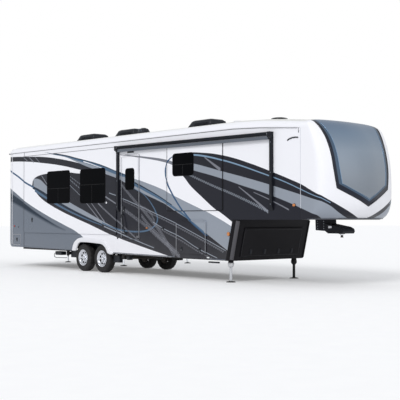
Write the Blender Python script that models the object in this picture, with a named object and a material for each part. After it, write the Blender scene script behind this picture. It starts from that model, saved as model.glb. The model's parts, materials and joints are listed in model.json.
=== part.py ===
"""Fifth wheel travel trailer, parked on its tyres and its two landing legs.

Metres, +X towards the hitch, +Z up, Y = 0 on the body's centreline. The entry door is on the curb side, -Y.
Places along X are written from a datum 2.17 m ahead of the axles' middle; at the end everything moves by
DATUM_X, which puts the origin on the ground halfway along the body.
"""

import math

import bmesh
import bpy
from mathutils import Matrix, Vector

# Overall sizes
WIDTH = 2.57            # over the faces of the slide-out rooms
REAR_X = -7.01
NOSE_X = 6.815
DATUM_X = 0.14          # from the datum of the places along X to the origin
SEAT = 0.0003           # running gap between two pieces that touch
FASCIA = 0.022          # flange of a slide-out room, door frame or flare, proud of the wall
WALL = 0.050
ROOF_SKIN = 0.060
ROOF_DRIP = 0.006       # the roof's edge, proud of the walls
FACE_Y = WIDTH / 2                      # outer plane of the slide-out rooms and doors
WALL_Y = FACE_Y - FASCIA - SEAT         # outer plane of the side walls
INNER_Y = WALL_Y - WALL - SEAT          # what fits between the side walls
ROOF_HALF_W = WALL_Y + ROOF_DRIP

# Heights
GUTTER_Z = 3.64
CROWN_RISE = 0.24
CAP_GUTTER_Z = 3.50
BELLY_Z = 1.49
SKIRT_REAR_Z = 0.613
SKIRT_FRONT_Z = 0.515
FLOOR_Z = 0.96
FLOOR_T = 0.08
UPPER_FLOOR_T = 0.08

# Places along the body
REAR_SEAM_X = -5.98
ROOF_BREAK_X = 3.80
ROOF_SLOPE_X = 4.70
ROOF_SLOPE_Z = 3.60
CAP_SEAM_X = 5.93
FRONT_LOW_X = 3.70      # foot of the wall under the gooseneck
FRONT_HIGH_X = 3.94     # its top, at the gooseneck's belly
CORNER_R = 0.11         # rounded corners of that wall
REAR_CORNER = (0.33, 0.10)      # the rear cap's corners in plan, along X and along Y
REAR_SILL_R = 0.15      # its rounded lower edge
CORNER_RETURN = 0.05    # straight part beside each rounded corner
BULKHEAD_X = 1.33       # step up from the living floor to the upper deck
BULKHEAD_T = 0.03

# Running gear
AXLE_MID_X = -2.17
AXLE_HALF_SPACING = 0.475
TYRE_R = 0.39
TYRE_W = 0.235
TYRE_FACE_Y = FACE_Y - 0.048
BEAD_R = 0.2225
WHEEL_STEPS = 32
AXLE_TUBE_R = 0.045
HUB_R = 0.055
HUB_SEAT = 0.030        # hub face, outboard of the tyre's middle plane
DRUM_R = 0.155
DRUM_Y = (TYRE_FACE_Y - 0.257, TYRE_FACE_Y - 0.167)
SPRING_HALF = 0.41      # half the span between spring eyes

# Chassis
RAIL_Y = TYRE_FACE_Y - 0.377    # the springs hang under the rails
RAIL_W = 0.10
RAIL_TOP_Z = 0.90
RAIL_LOW_Z = 0.64
RAIL_DROP_Z = 0.535
DROP_START_X = -1.15
DROP_END_X = -0.85
RAIL_REAR_X = -6.66
RAIL_FRONT_X = 3.62
LOW_RAIL_H = 0.105      # height of the dropped part of the rails
TIE_PLACES = (0.2, 1.8, 3.2)
CROSS_W = 0.08
CROSS_PLACES = (-6.45, -5.25, -4.05, -3.30, -1.00, 0.20, 1.20)
PAN_T = 0.022
RIB_LOW_Z = 0.54        # ribs under the rear pan

# Wheel arch, from its rear foot to its front foot: the hole in the wall, and the two edges of the lip
ARCH = (
    (-2.99, 0.66), (-2.93, 0.76), (-2.84, 0.825), (-2.71, 0.86), (-1.62, 0.845), (-1.50, 0.80),
    (-1.40, 0.71), (-1.345, 0.62),
)
ARCH_FEET_X = (-3.01, -1.33)
FLARE_OUTER = (
    (-3.145, 0.584), (-3.133, 0.635), (-3.086, 0.749), (-3.03, 0.820), (-2.955, 0.873), (-2.87, 0.920),
    (-2.77, 0.950), (-2.65, 0.967), (-2.549, 0.971), (-2.223, 0.957), (-1.868, 0.939), (-1.68, 0.926),
    (-1.60, 0.914), (-1.52, 0.888), (-1.417, 0.825), (-1.35, 0.757), (-1.297, 0.697), (-1.229, 0.634),
    (-1.165, 0.585), (-1.103, 0.550),
)
FLARE_INNER = (
    (-2.965, 0.584), (-2.942, 0.630), (-2.895, 0.713), (-2.845, 0.772), (-2.784, 0.815), (-2.71, 0.840),
    (-2.38, 0.841), (-1.97, 0.825), (-1.70, 0.811), (-1.61, 0.797), (-1.534, 0.768), (-1.431, 0.697),
    (-1.385, 0.635), (-1.345, 0.567), (-1.294, 0.545), (-1.20, 0.527), (-1.12, 0.532),
)
FLARE_SEAT = 0.018      # how deep the lip is let into the wall

# Slide-out rooms
OVERLAP = 0.045         # flange of the room over the wall around its hole
ROOM_CLEAR = 0.012
ROOM_WALL = 0.040
ROOM_LIP = 0.030
ROOM_LIP_T = 0.020
LIVING_X = (-5.98, -0.93)
LIVING_Z = (1.08, 3.48)
LIVING_DEPTH = 0.90
STREET_LIVING_X = (-5.60, -0.30)
BEDROOM_X = (1.29, 3.41)
BEDROOM_Z = (1.72, 3.35)
BEDROOM_DEPTH = 0.55

# Windows: name, low x, high x, low z, high z, corner radius
CURB_WINDOWS = (
    ("window_living_rear", -4.53, -3.29, 2.00, 2.93, 0.07),
    ("window_living_front", -2.70, -1.46, 1.98, 2.92, 0.07),
)
BEDROOM_WINDOW = ("window_bedroom", 1.56, 2.35, 2.61, 3.14, 0.085)
STREET_WINDOWS = (
    ("window_dinette", -4.60, -3.36, 1.99, 2.93, 0.07),
    ("window_sofa", -2.44, -1.20, 1.99, 2.93, 0.07),
)
STREET_BEDROOM_WINDOW = ("window_wardrobe", 1.70, 2.49, 2.61, 3.14, 0.085)
WINDOW_FLANGE = 0.018
WINDOW_PROUD = 0.008
WINDOW_T = 0.024

# Entry door
DOOR_X = (-0.65, 0.08)
DOOR_Z = (1.00, 3.20)
DOOR_FRAME_W = 0.035
DOOR_SLEEVE = 0.012
DOOR_CLEAR = 0.006
DOOR_T = 0.040
DOOR_INSET = 0.004
DOOR_WINDOW = ("window_entry", -0.48, -0.11, 2.315, 2.855, 0.06)
HINGE_R = 0.006
HINGE_PROUD = 0.008     # hinge axis, outboard of the face plane

# Luggage doors
BAY_DOOR_X = (1.68, 2.82)
BAY_DOOR_Z = (0.64, 1.47)
BAY_DOOR_LAP = 0.015
BAY_PLUG_T = 0.030
FRONT_DOOR_Y = FACE_Y - 0.285
FRONT_DOOR_H = (0.10, 0.80)     # along the slope of the wall under the gooseneck

# Hitch
PIN_X = 6.02
PIN_PLATE_Z = 1.18
PIN_BOX_HALF = 0.20
PIN_LOW_Z = 1.09
PIN_SHANK_R = 0.0365
PIN_NECK_R = 0.0254
PIN_LIP_R = 0.0355
PIN_BOX = (
    (5.40, BELLY_Z - SEAT), (5.41, 1.25), (5.69, 1.235), (5.78, PIN_PLATE_Z), (6.20, PIN_PLATE_Z),
    (6.23, 1.225), (6.21, 1.285), (6.12, 1.33), (5.69, 1.40), (5.68, BELLY_Z - SEAT),
)

# Legs and jacks
LEG_X = 3.515
LEG_Y = FACE_Y - 0.195
LEG_TUBE_R = 0.065
LEG_RAM_R = 0.035
LEG_FOOT_R = 0.115
JACK_Y = FACE_Y - 0.145
JACK_PLACES = (-3.58, -0.76)
JACK_TUBE_R = 0.048
JACK_RAM_R = 0.026
JACK_FOOT_R = 0.095
JACK_FOOT_Z = 0.22

# Roof units
AIR_H = 0.24
AIR_PLACES = (("air_unit_rear", -4.555), ("air_unit_middle", -2.504), ("air_unit_front", 0.84))
# distance from the unit's rear edge, half width, share of the height
AIR_SECTIONS = (
    (0.0, 0.290, 0.06), (0.14, 0.305, 0.49), (0.26, 0.31, 0.91), (0.32, 0.31, 1.0), (0.95, 0.31, 1.0),
    (1.005, 0.305, 0.90), (1.03, 0.295, 0.72),
)
VENT_X = (-0.75, -0.48)
VENT_Y = (-0.70, -0.44)
VENT_H = 0.155
ROOF_STEPS = 14
DOME_X = 4.07
DOME_R = 0.22
DOME_H = 0.055

# Awning
AWNING_Y = -(FACE_Y + 0.06)
AWNING_R = 0.045
ARM_W = 0.085
ARM_T = 0.055
AWNING_REAR = (-0.88, 3.457)    # x of the rear arm, height of the roller there
AWNING_FRONT = (5.025, 3.420)
ARM_LOW_Z = 1.70

# Rear
LADDER_Y = (0.42, 0.78)
LADDER_Z = (1.05, 3.60)
LADDER_OUT = 0.07       # from the rear face to the rails' centre lines
RUNG_LOW_Z = 1.15
RUNG_STEP = 0.29
LAMP_Y = (FACE_Y - 0.305, FACE_Y - 0.165)
LAMP_Z = (1.25, 1.75)

MATERIALS = {
    "shell": ((0.86, 0.86, 0.89), 0.25, 0.0),
    "dark_shell": ((0.06, 0.06, 0.07), 0.35, 0.0),
    "steel": ((0.03, 0.03, 0.032), 0.55, 0.4),
    "tyre": ((0.02, 0.02, 0.022), 0.85, 0.0),
    "rim": ((0.72, 0.74, 0.78), 0.2, 1.0),
    "glass": ((0.01, 0.01, 0.014), 0.08, 0.0),
    "black_plastic": ((0.03, 0.032, 0.038), 0.5, 0.0),
    "aluminium": ((0.6, 0.6, 0.62), 0.35, 0.9),
    "floor": ((0.35, 0.3, 0.25), 0.7, 0.0),
    "lamp": ((0.5, 0.02, 0.02), 0.2, 0.0),
}


def remove_all():
    """Empties the scene."""
    for thing in list(bpy.data.objects):
        bpy.data.objects.remove(thing, do_unlink=True)


def finish_of(slot):
    """The material of a slot, made once."""
    known = bpy.data.materials.get(slot)
    if known:
        return known
    colour, roughness, metallic = MATERIALS[slot]
    made = bpy.data.materials.new(slot)
    made.use_nodes = True
    shader = made.node_tree.nodes["Principled BSDF"]
    shader.inputs["Base Color"].default_value = (*colour, 1.0)
    shader.inputs["Roughness"].default_value = roughness
    shader.inputs["Metallic"].default_value = metallic
    return made


def make_object(name, mesh_data, slot, smooth_deg=None):
    """Turns a bmesh into an object whose faces point out."""
    bmesh.ops.recalc_face_normals(mesh_data, faces=mesh_data.faces[:])
    mesh = bpy.data.meshes.new(name)
    mesh_data.to_mesh(mesh)
    mesh_data.free()
    if smooth_deg is not None:
        mesh.shade_smooth()
        mesh.set_sharp_from_angle(angle=math.radians(smooth_deg))
    made = bpy.data.objects.new(name, mesh)
    made.data.materials.append(finish_of(slot))
    bpy.context.scene.collection.objects.link(made)
    return made


def placed(axis, u, v, w):
    """A point from its two outline coordinates and its place along the axis of extrusion."""
    return {"X": (w, u, v), "Y": (u, w, v), "Z": (u, v, w)}[axis]


def plate(name, axis, low, high, outline, slot, holes=()):
    """A flat outline, with holes, extruded along an axis from low to high."""
    data = bmesh.new()
    for loop in (outline, *holes):
        verts = [data.verts.new(placed(axis, u, v, low)) for u, v in loop]
        for here, there in zip(verts, verts[1:] + verts[:1]):
            data.edges.new((here, there))
    filled = bmesh.ops.triangle_fill(data, use_beauty=True, edges=data.edges[:], normal=placed(axis, 0, 0, 1))
    faces = [face for face in filled["geom"] if isinstance(face, bmesh.types.BMFace)]
    pushed = bmesh.ops.extrude_face_region(data, geom=faces)
    moved = [vert for vert in pushed["geom"] if isinstance(vert, bmesh.types.BMVert)]
    bmesh.ops.translate(data, verts=moved, vec=placed(axis, 0, 0, high - low))
    return make_object(name, data, slot)


def skin(name, rings, slot, closed=False, smooth_deg=None):
    """A solid through rings of equal counts, capped at both ends, or closed on itself."""
    data = bmesh.new()
    loops = [[data.verts.new(point) for point in ring] for ring in rings]
    pairs = list(zip(loops, loops[1:]))
    if closed:
        pairs.append((loops[-1], loops[0]))
    for ring, following in pairs:
        for i in range(len(ring)):
            j = (i + 1) % len(ring)
            data.faces.new((ring[i], ring[j], following[j], following[i]))
    if not closed:
        data.faces.new(loops[0])
        data.faces.new(loops[-1])
    return make_object(name, data, slot, smooth_deg)


def turned(name, profile, axis, centre, steps, slot, closed=False, start_deg=-90.0):
    """A profile of (place along the axis, radius) turned about an axis through centre."""
    rings = []
    for along, radius in profile:
        ring = []
        for k in range(steps):
            angle = math.radians(start_deg) + math.tau * k / steps
            u, v = radius * math.cos(angle), radius * math.sin(angle)
            point = Vector(placed(axis, u, v, along)) + Vector(centre)
            ring.append(point)
        rings.append(ring)
    return skin(name, rings, slot, closed, smooth_deg=32)


def pipe(name, points, radius, normal, slot, steps=8):
    """A round bar through points that lie in one plane with the given normal."""
    normal = Vector(normal).normalized()
    points = [Vector(point) for point in points]
    rings = []
    for i, point in enumerate(points):
        before = points[max(i - 1, 0)]
        after = points[min(i + 1, len(points) - 1)]
        side = (after - before).normalized().cross(normal)
        angles = [math.tau * k / steps for k in range(steps)]
        rings.append([point + radius * (math.cos(a) * normal + math.sin(a) * side) for a in angles])
    return skin(name, rings, slot, smooth_deg=40)


def rectangle(u, v):
    """Four corners from two pairs of low and high coordinates."""
    return ((u[0], v[0]), (u[1], v[0]), (u[1], v[1]), (u[0], v[1]))


def block(name, x, y, z, slot):
    """A box from pairs of low and high coordinates."""
    return plate(name, "Y", y[0], y[1], rectangle(x, z), slot)


def as_tool(thing):
    """Marks an object as a cutter or an addition that is no piece by itself."""
    thing.hide_render = True
    thing.display_type = "WIRE"
    return thing


def combine(target, tools, operation):
    """Adds or cuts tools, one Boolean each."""
    for tool in tools:
        step = target.modifiers.new(tool.name, "BOOLEAN")
        step.operation = operation
        step.solver = "EXACT"
        step.object = as_tool(tool)
    return target


def arc(centre, radius, start_deg, end_deg, steps):
    """Points on an arc, both ends included."""
    turn = (end_deg - start_deg) / steps
    angles = [math.radians(start_deg + turn * k) for k in range(steps + 1)]
    return [(centre[0] + radius * math.cos(a), centre[1] + radius * math.sin(a)) for a in angles]


def rounded(x, z, radius, steps=3):
    """A rectangle with rounded corners, counter-clockwise."""
    corners = ((x[1], z[0], 270), (x[1], z[1], 0), (x[0], z[1], 90), (x[0], z[0], 180))
    points = []
    for cx, cz, start in corners:
        inward_x = -radius if cx == x[1] else radius
        inward_z = -radius if cz == z[1] else radius
        points += arc((cx + inward_x, cz + inward_z), radius, start, start + 90, steps)
    return points


def grown(pair, amount):
    """A low and high pair, moved apart by an amount at each end."""
    return (pair[0] - amount, pair[1] + amount)


def skirt_z(x):
    """Lower edge of the side walls, which falls towards the front."""
    share = (x - REAR_SEAM_X) / (FRONT_LOW_X - REAR_SEAM_X)
    return SKIRT_REAR_Z + (SKIRT_FRONT_Z - SKIRT_REAR_Z) * share


def front_x(z):
    """Front face of the wall under the gooseneck at a height."""
    share = (z - SKIRT_FRONT_Z) / (BELLY_Z - SKIRT_FRONT_Z)
    return FRONT_LOW_X + (FRONT_HIGH_X - FRONT_LOW_X) * share


def gutter_z(x):
    """Height of the gutter line, level at first and falling towards the cap."""
    if x <= ROOF_BREAK_X:
        return GUTTER_Z
    if x <= ROOF_SLOPE_X:
        share = (x - ROOF_BREAK_X) / (ROOF_SLOPE_X - ROOF_BREAK_X)
        return GUTTER_Z + (ROOF_SLOPE_Z - GUTTER_Z) * share
    share = (x - ROOF_SLOPE_X) / (CAP_SEAM_X - ROOF_SLOPE_X)
    return ROOF_SLOPE_Z + (CAP_GUTTER_Z - ROOF_SLOPE_Z) * share


def crown_z(x):
    """Height of the roof's middle."""
    return gutter_z(x) + CROWN_RISE


def super_arc(half_width, rise, power, steps):
    """Half of a superellipse from -half_width to +half_width, as (across, up)."""
    points = []
    for k in range(steps + 1):
        angle = math.pi * (1 - k / steps)
        c, s = math.cos(angle), math.sin(angle)
        across = half_width * math.copysign(abs(c) ** (2 / power), c)
        points.append((across, rise * max(s, 0.0) ** (2 / power)))
    return points


def roof_z(x, y):
    """Height of the roof's faceted top over the level stretch and the slope."""
    points = super_arc(ROOF_HALF_W, CROWN_RISE, 3.0, ROOF_STEPS)
    for (y0, z0), (y1, z1) in zip(points, points[1:]):
        if y0 <= y <= y1:
            return gutter_z(x) + z0 + (z1 - z0) * (y - y0) / (y1 - y0)
    return gutter_z(x)


def arch_outline():
    """The hole of a wheel arch from its rear foot to its front foot."""
    rear, front = ARCH_FEET_X
    return [(rear, skirt_z(rear)), *ARCH, (front, skirt_z(front))]


def room_hole(x, z):
    """The hole that a slide-out room passes through."""
    inset = OVERLAP - ROOM_CLEAR
    return rounded(grown(x, -inset), grown(z, -inset), 0.02, 1)


def side_wall(name, side, holes):
    """One side wall, from the rear cap to the front cap."""
    low_x = front_x(SKIRT_FRONT_Z) - CORNER_R - CORNER_RETURN - SEAT
    high_x = front_x(BELLY_Z) - CORNER_R - CORNER_RETURN - SEAT
    outline = [(REAR_SEAM_X + SEAT, skirt_z(REAR_SEAM_X))]
    outline += arch_outline()
    outline += [(low_x, skirt_z(low_x)), (high_x, BELLY_Z), (CAP_SEAM_X - SEAT, BELLY_Z)]
    for x in (CAP_SEAM_X - SEAT, ROOF_SLOPE_X, ROOF_BREAK_X, REAR_SEAM_X + SEAT):
        outline.append((x, gutter_z(x) - SEAT))
    low, high = sorted((side * WALL_Y, side * (WALL_Y - WALL)))
    wall = plate(name, "Y", low, high, outline, "shell", holes)
    return combine(wall, [make_flare(f"{name}_flare", side)], "UNION")


def make_walls():
    """Side walls, rear cap, roof, front cap and the wall under the gooseneck."""
    cut = DOOR_SLEEVE + SEAT
    door_hole = rounded(grown(DOOR_X, cut), grown(DOOR_Z, cut), 0.03 + SEAT)
    bay_hole = rounded(grown(BAY_DOOR_X, -BAY_DOOR_LAP), grown(BAY_DOOR_Z, -BAY_DOOR_LAP), 0.02, 1)
    side_wall("wall_curb", -1, (room_hole(LIVING_X, LIVING_Z), door_hole, bay_hole, room_hole(BEDROOM_X, BEDROOM_Z)))
    street_holes = (room_hole(STREET_LIVING_X, LIVING_Z), bay_hole, room_hole(BEDROOM_X, BEDROOM_Z))
    side_wall("wall_street", 1, street_holes)
    make_rear_cap()
    make_roof()
    make_front_cap()
    make_front_lower_wall()


def bent_wall(x_back, x_face, half_width, corner, thickness, facing, steps=4):
    """Plan outline of a wall whose two ends turn back around corners, rounded by (along X, along Y)."""
    def path(face, half, along_x, along_y):
        turn = [math.pi / 2 * k / steps for k in range(steps + 1)]
        bend = [(face - facing * along_x * (1 - math.sin(a)), half - along_y * (1 - math.cos(a))) for a in turn]
        return [(x_back, -half)] + [(x, -y) for x, y in bend] + bend[::-1] + [(x_back, half)]
    outer = path(x_face, half_width, *corner)
    inner = path(x_face - facing * thickness, half_width - thickness, *(r - thickness for r in corner))
    return outer + inner[::-1]


def make_rear_cap():
    """The moulded rear wall with its two corners and its rounded lower edge."""
    rings = []
    for lift in (0.0, 0.02, 0.06, REAR_SILL_R, GUTTER_Z - SEAT - SKIRT_REAR_Z):
        pull = REAR_SILL_R - math.sqrt(max(0.0, REAR_SILL_R ** 2 - max(0.0, REAR_SILL_R - lift) ** 2))
        corner = (REAR_CORNER[0] - pull, REAR_CORNER[1])
        outline = bent_wall(REAR_SEAM_X, REAR_X + pull, WALL_Y, corner, WALL, -1, 5)
        rings.append([(x, y, SKIRT_REAR_Z + lift) for x, y in outline])
    skin("rear_cap", rings, "shell", smooth_deg=30)


def make_roof():
    """The crowned roof, a shell through sections from the rear cap to the front cap."""
    # x, how much narrower than the body on each side, share of the crown's full rise
    sections = []
    for k, share in enumerate((0.45, 0.68, 0.85, 0.955, 0.99, 1.0)):
        angle = math.pi / 2 * k / 5
        sections.append((REAR_X + REAR_CORNER[0] * (1 - math.cos(angle)), REAR_CORNER[1] * (1 - math.sin(angle)), share))
    sections += [(ROOF_BREAK_X, 0.0, 1.0), (ROOF_SLOPE_X, 0.0, 1.0), (CAP_SEAM_X - SEAT, 0.0, 0.92)]
    rings = []
    for x, narrower, share in sections:
        outer = super_arc(ROOF_HALF_W - narrower, CROWN_RISE * share, 3.0, ROOF_STEPS)
        inner = super_arc(WALL_Y - ROOF_SKIN - narrower, CROWN_RISE * share - ROOF_SKIN, 3.0, ROOF_STEPS)
        base = gutter_z(x)
        rings.append([(x, y, base + z) for y, z in outer + inner[::-1]])
    roof = skin("roof", rings, "shell", smooth_deg=30)
    x, narrower, share = sections[0]
    end = super_arc(ROOF_HALF_W - narrower - 0.01, CROWN_RISE * share - 0.01, 3.0, ROOF_STEPS)
    gable = plate("roof_gable", "X", x + 0.002, x + 0.014, [(y, gutter_z(x) + z) for y, z in end], "shell")
    combine(roof, [gable], "UNION")


def nose_reach(z):
    """How far the front cap reaches ahead of its seam at a height, on the centreline."""
    full = NOSE_X - CAP_SEAM_X
    widest_z = 2.30
    top_z = CAP_GUTTER_Z + CROWN_RISE * 0.92
    if z > widest_z:
        return full * max(0.0, 1 - ((z - widest_z) / (top_z - widest_z)) ** 2.4) ** (1 / 2.4)
    return full - 0.305 * ((widest_z - z) / (widest_z - BELLY_Z)) ** 1.85


def nose_half_width(z):
    """Half the front cap's width at a height, narrowing above the gutter as the roof does."""
    rise = CROWN_RISE * 0.92
    if z <= CAP_GUTTER_Z:
        return WALL_Y
    return WALL_Y * max(0.0, 1 - ((z - CAP_GUTTER_Z) / rise) ** 3) ** (1 / 3)


def nose_plan(z, inset=0.0, steps=18):
    """Plan outline of the front cap at a height, from curb to street."""
    arc_points = super_arc(nose_half_width(z) - inset, nose_reach(z) - inset, 3.1, steps)
    return [(CAP_SEAM_X + reach, across) for across, reach in arc_points]


def make_front_cap():
    """The moulded front cap: an outer and an inner sheet, joined round their edges."""
    top = CAP_GUTTER_Z + CROWN_RISE * 0.92
    levels = (BELLY_Z, 1.60, 1.75, 1.98, 2.3, 2.68, 2.98, 3.22, 3.38, 3.50, 3.57, 3.63, 3.68, top - 0.012)
    skin_t = 0.04
    data = bmesh.new()
    sheets = []
    for inset, drop in ((0.0, 0.0), (skin_t, skin_t)):
        rows = []
        for level in levels:
            z = BELLY_Z + (level - BELLY_Z) * (top - drop - BELLY_Z) / (top - BELLY_Z)
            rows.append([data.verts.new((x, y, z)) for x, y in nose_plan(level, inset)])
        sheets.append(rows)
    outer, inner = sheets
    for rows in sheets:
        for row, above in zip(rows, rows[1:]):
            for k in range(len(row) - 1):
                data.faces.new((row[k], row[k + 1], above[k + 1], above[k]))
        data.faces.new(rows[-1])
    for near, far in zip(outer[0], outer[0][1:]):
        i = outer[0].index(near)
        data.faces.new((near, far, inner[0][i + 1], inner[0][i]))
    for end in (0, -1):
        for i in range(len(levels) - 1):
            data.faces.new((outer[i][end], outer[i + 1][end], inner[i + 1][end], inner[i][end]))
    data.faces.new((outer[-1][0], outer[-1][-1], inner[-1][-1], inner[-1][0]))
    make_object("front_cap", data, "shell", 30)


def make_front_lower_wall():
    """The leaning dark wall under the gooseneck, rounded round both corners, with a luggage door."""
    rings = []
    for z in (SKIRT_FRONT_Z, BELLY_Z - SEAT):
        face = front_x(z)
        back = face - CORNER_R - CORNER_RETURN
        rings.append([(x, y, z) for x, y in bent_wall(back, face, FACE_Y, (CORNER_R, CORNER_R), WALL, 1)])
    wall = skin("wall_front_lower", rings, "dark_shell")
    low, high = FRONT_DOOR_H
    y = grown((-FRONT_DOOR_Y, FRONT_DOOR_Y), -BAY_DOOR_LAP)
    hole = block("front_door_hole", (-0.3, 0.3), y, (low + BAY_DOOR_LAP, high - BAY_DOOR_LAP), "dark_shell")
    combine(wall, [lean(hole)], "DIFFERENCE")


def lean(thing):
    """Leans an upright piece, made at X = 0 and Z = 0, onto the slope of the wall under the gooseneck."""
    angle = math.atan2(FRONT_HIGH_X - FRONT_LOW_X, BELLY_Z - SKIRT_FRONT_Z)
    place = Matrix.Translation((FRONT_LOW_X, 0, SKIRT_FRONT_Z)) @ Matrix.Rotation(angle, 4, "Y")
    thing.data.transform(place)
    return thing


def make_floors():
    """Living floor, upper deck, the bulkhead between them and the pans underneath."""
    half = INNER_Y
    tail = ((RAIL_REAR_X, half), (RAIL_REAR_X - 0.14, half - 0.012), (REAR_X + WALL + 0.01, half - 0.055))
    front = (BULKHEAD_X - SEAT, half)
    plate("floor_living", "Z", FLOOR_Z, FLOOR_Z + FLOOR_T, mirrored((front, *tail)), "floor")
    bay_z = RAIL_DROP_Z + LOW_RAIL_H + SEAT
    bulkhead_z = (bay_z, BELLY_Z + UPPER_FLOOR_T / 2)
    bulkhead = block("bulkhead", (BULKHEAD_X, BULKHEAD_X + BULKHEAD_T), (-half, half), bulkhead_z, "floor")
    nose = [(x, y) for x, y in nose_plan(BELLY_Z + 0.04, 0.09) if x > CAP_SEAM_X + 0.02]
    outline = [(BULKHEAD_X, half), (BULKHEAD_X, -half), (CAP_SEAM_X + 0.02, -half)]
    outline += [(x, max(-half, min(half, y))) for x, y in nose]
    outline.append((CAP_SEAM_X + 0.02, half))
    upper = plate("floor_upper", "Z", BELLY_Z, BELLY_Z + UPPER_FLOOR_T, outline, "floor")
    combine(upper, [bulkhead], "UNION")
    pan = (RAIL_LOW_Z - PAN_T - SEAT, RAIL_LOW_Z - SEAT)
    rear_pan_x = JACK_PLACES[0] - JACK_TUBE_R - 0.03
    pan_tail = ((RAIL_REAR_X, half), (RAIL_REAR_X - 0.10, half - 0.03))
    rear_pan = plate("pan_rear", "Z", *pan, mirrored(((rear_pan_x, half), *pan_tail)), "steel")
    ribs = [block(f"rib_{i}", (RAIL_REAR_X + 0.02, rear_pan_x - 0.01), grown((y, y), RAIL_W / 2),
                  (RIB_LOW_Z, pan[1] - 0.008), "steel") for i, y in enumerate((-RAIL_Y, RAIL_Y))]
    combine(rear_pan, ribs, "UNION")
    low_pan = (RAIL_DROP_Z - PAN_T - SEAT, RAIL_DROP_Z - SEAT)
    holes = [arc((LEG_X, side * LEG_Y), LEG_TUBE_R + 0.022, 0, 345, 23) for side in (-1, 1)]
    pan_x = JACK_PLACES[1] + JACK_TUBE_R + 0.03
    plate("pan_middle", "Z", *low_pan, rectangle((pan_x, RAIL_FRONT_X), (-half, half)), "steel", holes)
    corners = rectangle((BULKHEAD_X + BULKHEAD_T + SEAT, RAIL_FRONT_X), (-half, half))
    plate("floor_bay", "Z", bay_z, bay_z + PAN_T, corners, "floor", holes)
    for side, word in ((-1, "curb"), (1, "street")):
        make_leg(side, word)


def mirrored(points):
    """An outline given on the street side, closed by its mirror image on the curb side."""
    return [*points, *((x, -y) for x, y in points[::-1])]


def make_leg(side, word):
    """A landing leg: its outer tube on the chassis rail, its ram and its round foot."""
    centre = (LEG_X, side * LEG_Y, 0)
    low = 0.36
    tube = turned(f"landing_leg_{word}", (
        (1.38, LEG_TUBE_R), (0.47, LEG_TUBE_R), (0.45, 0.075), (0.40, 0.075), (low, 0.05),
        (low - 0.01, LEG_RAM_R), (0.030, LEG_RAM_R), (0.012, LEG_FOOT_R), (0.0, LEG_FOOT_R),
    ), "Z", centre, 20, "steel")
    inner, outer = RAIL_Y + RAIL_W / 2 + SEAT, LEG_Y - LEG_TUBE_R * 0.5
    y = sorted((side * inner, side * outer))
    bracket_z = (RAIL_DROP_Z + 0.01, RAIL_DROP_Z + 0.09)
    combine(tube, [block(f"leg_bracket_{word}", grown((LEG_X, LEG_X), 0.04), y, bracket_z, "steel")], "UNION")


def make_chassis():
    """Drop-frame rails tied by crossmembers, with pin box, kingpin, jacks and receiver."""
    outline = (
        (RAIL_REAR_X, RAIL_LOW_Z), (DROP_START_X, RAIL_LOW_Z), (DROP_END_X, RAIL_DROP_Z), (RAIL_FRONT_X, RAIL_DROP_Z),
        (RAIL_FRONT_X, RAIL_DROP_Z + LOW_RAIL_H), (BULKHEAD_X - SEAT, RAIL_DROP_Z + LOW_RAIL_H),
        (BULKHEAD_X - SEAT, RAIL_TOP_Z), (RAIL_REAR_X, RAIL_TOP_Z),
    )
    rails = [plate(f"rail_{i}", "Y", *grown((side * RAIL_Y, side * RAIL_Y), RAIL_W / 2), outline, "steel")
             for i, side in enumerate((-1, 1))]
    crosses = [block(f"cross_{i}", grown((x, x), CROSS_W / 2), (-INNER_Y, INNER_Y),
                     (RAIL_TOP_Z - 0.02, FLOOR_Z - SEAT), "steel") for i, x in enumerate(CROSS_PLACES)]
    low_ties = [block(f"tie_{i}", grown((x, x), CROSS_W / 2), (-RAIL_Y, RAIL_Y),
                      (RAIL_DROP_Z + 0.01, RAIL_DROP_Z + 0.09), "steel") for i, x in enumerate(TIE_PLACES)]
    frame = rails[0]
    frame.name = "chassis_frame"
    jacks = [part for i, x in enumerate(JACK_PLACES) for side in (-1, 1) for part in make_jack(i, x, side)]
    combine(frame, [rails[1], *crosses, *low_ties, *jacks], "UNION")
    make_hitch()


def make_hitch():
    """The pin box hung under the gooseneck, and its kingpin."""
    plate("pin_box", "Y", -PIN_BOX_HALF, PIN_BOX_HALF, PIN_BOX, "steel")
    turned("kingpin", (
        (PIN_PLATE_Z - SEAT, 0.07), (PIN_PLATE_Z - 0.012, 0.07), (PIN_PLATE_Z - 0.012, PIN_SHANK_R),
        (PIN_LOW_Z + 0.052, PIN_SHANK_R), (PIN_LOW_Z + 0.050, PIN_NECK_R), (PIN_LOW_Z + 0.018, PIN_NECK_R),
        (PIN_LOW_Z + 0.016, PIN_LIP_R), (PIN_LOW_Z, PIN_LIP_R),
    ), "Z", (PIN_X, 0, 0), 20, "aluminium")


def make_jack(number, x, side):
    """A drawn-up levelling jack and its bracket on the chassis rail."""
    centre = (x, side * JACK_Y, 0)
    name = f"jack_{number}_{'curb' if side < 0 else 'street'}"
    tube = turned(name, (
        (0.86, JACK_TUBE_R), (0.44, JACK_TUBE_R), (0.42, JACK_RAM_R), (JACK_FOOT_Z + 0.03, JACK_RAM_R),
        (JACK_FOOT_Z + 0.012, JACK_FOOT_R), (JACK_FOOT_Z, JACK_FOOT_R),
    ), "Z", centre, 16, "steel")
    y = sorted((side * (RAIL_Y + RAIL_W / 4), side * JACK_Y))
    return tube, block(f"{name}_bracket", grown((x, x), 0.035), y, (0.66, 0.84), "steel")


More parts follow.
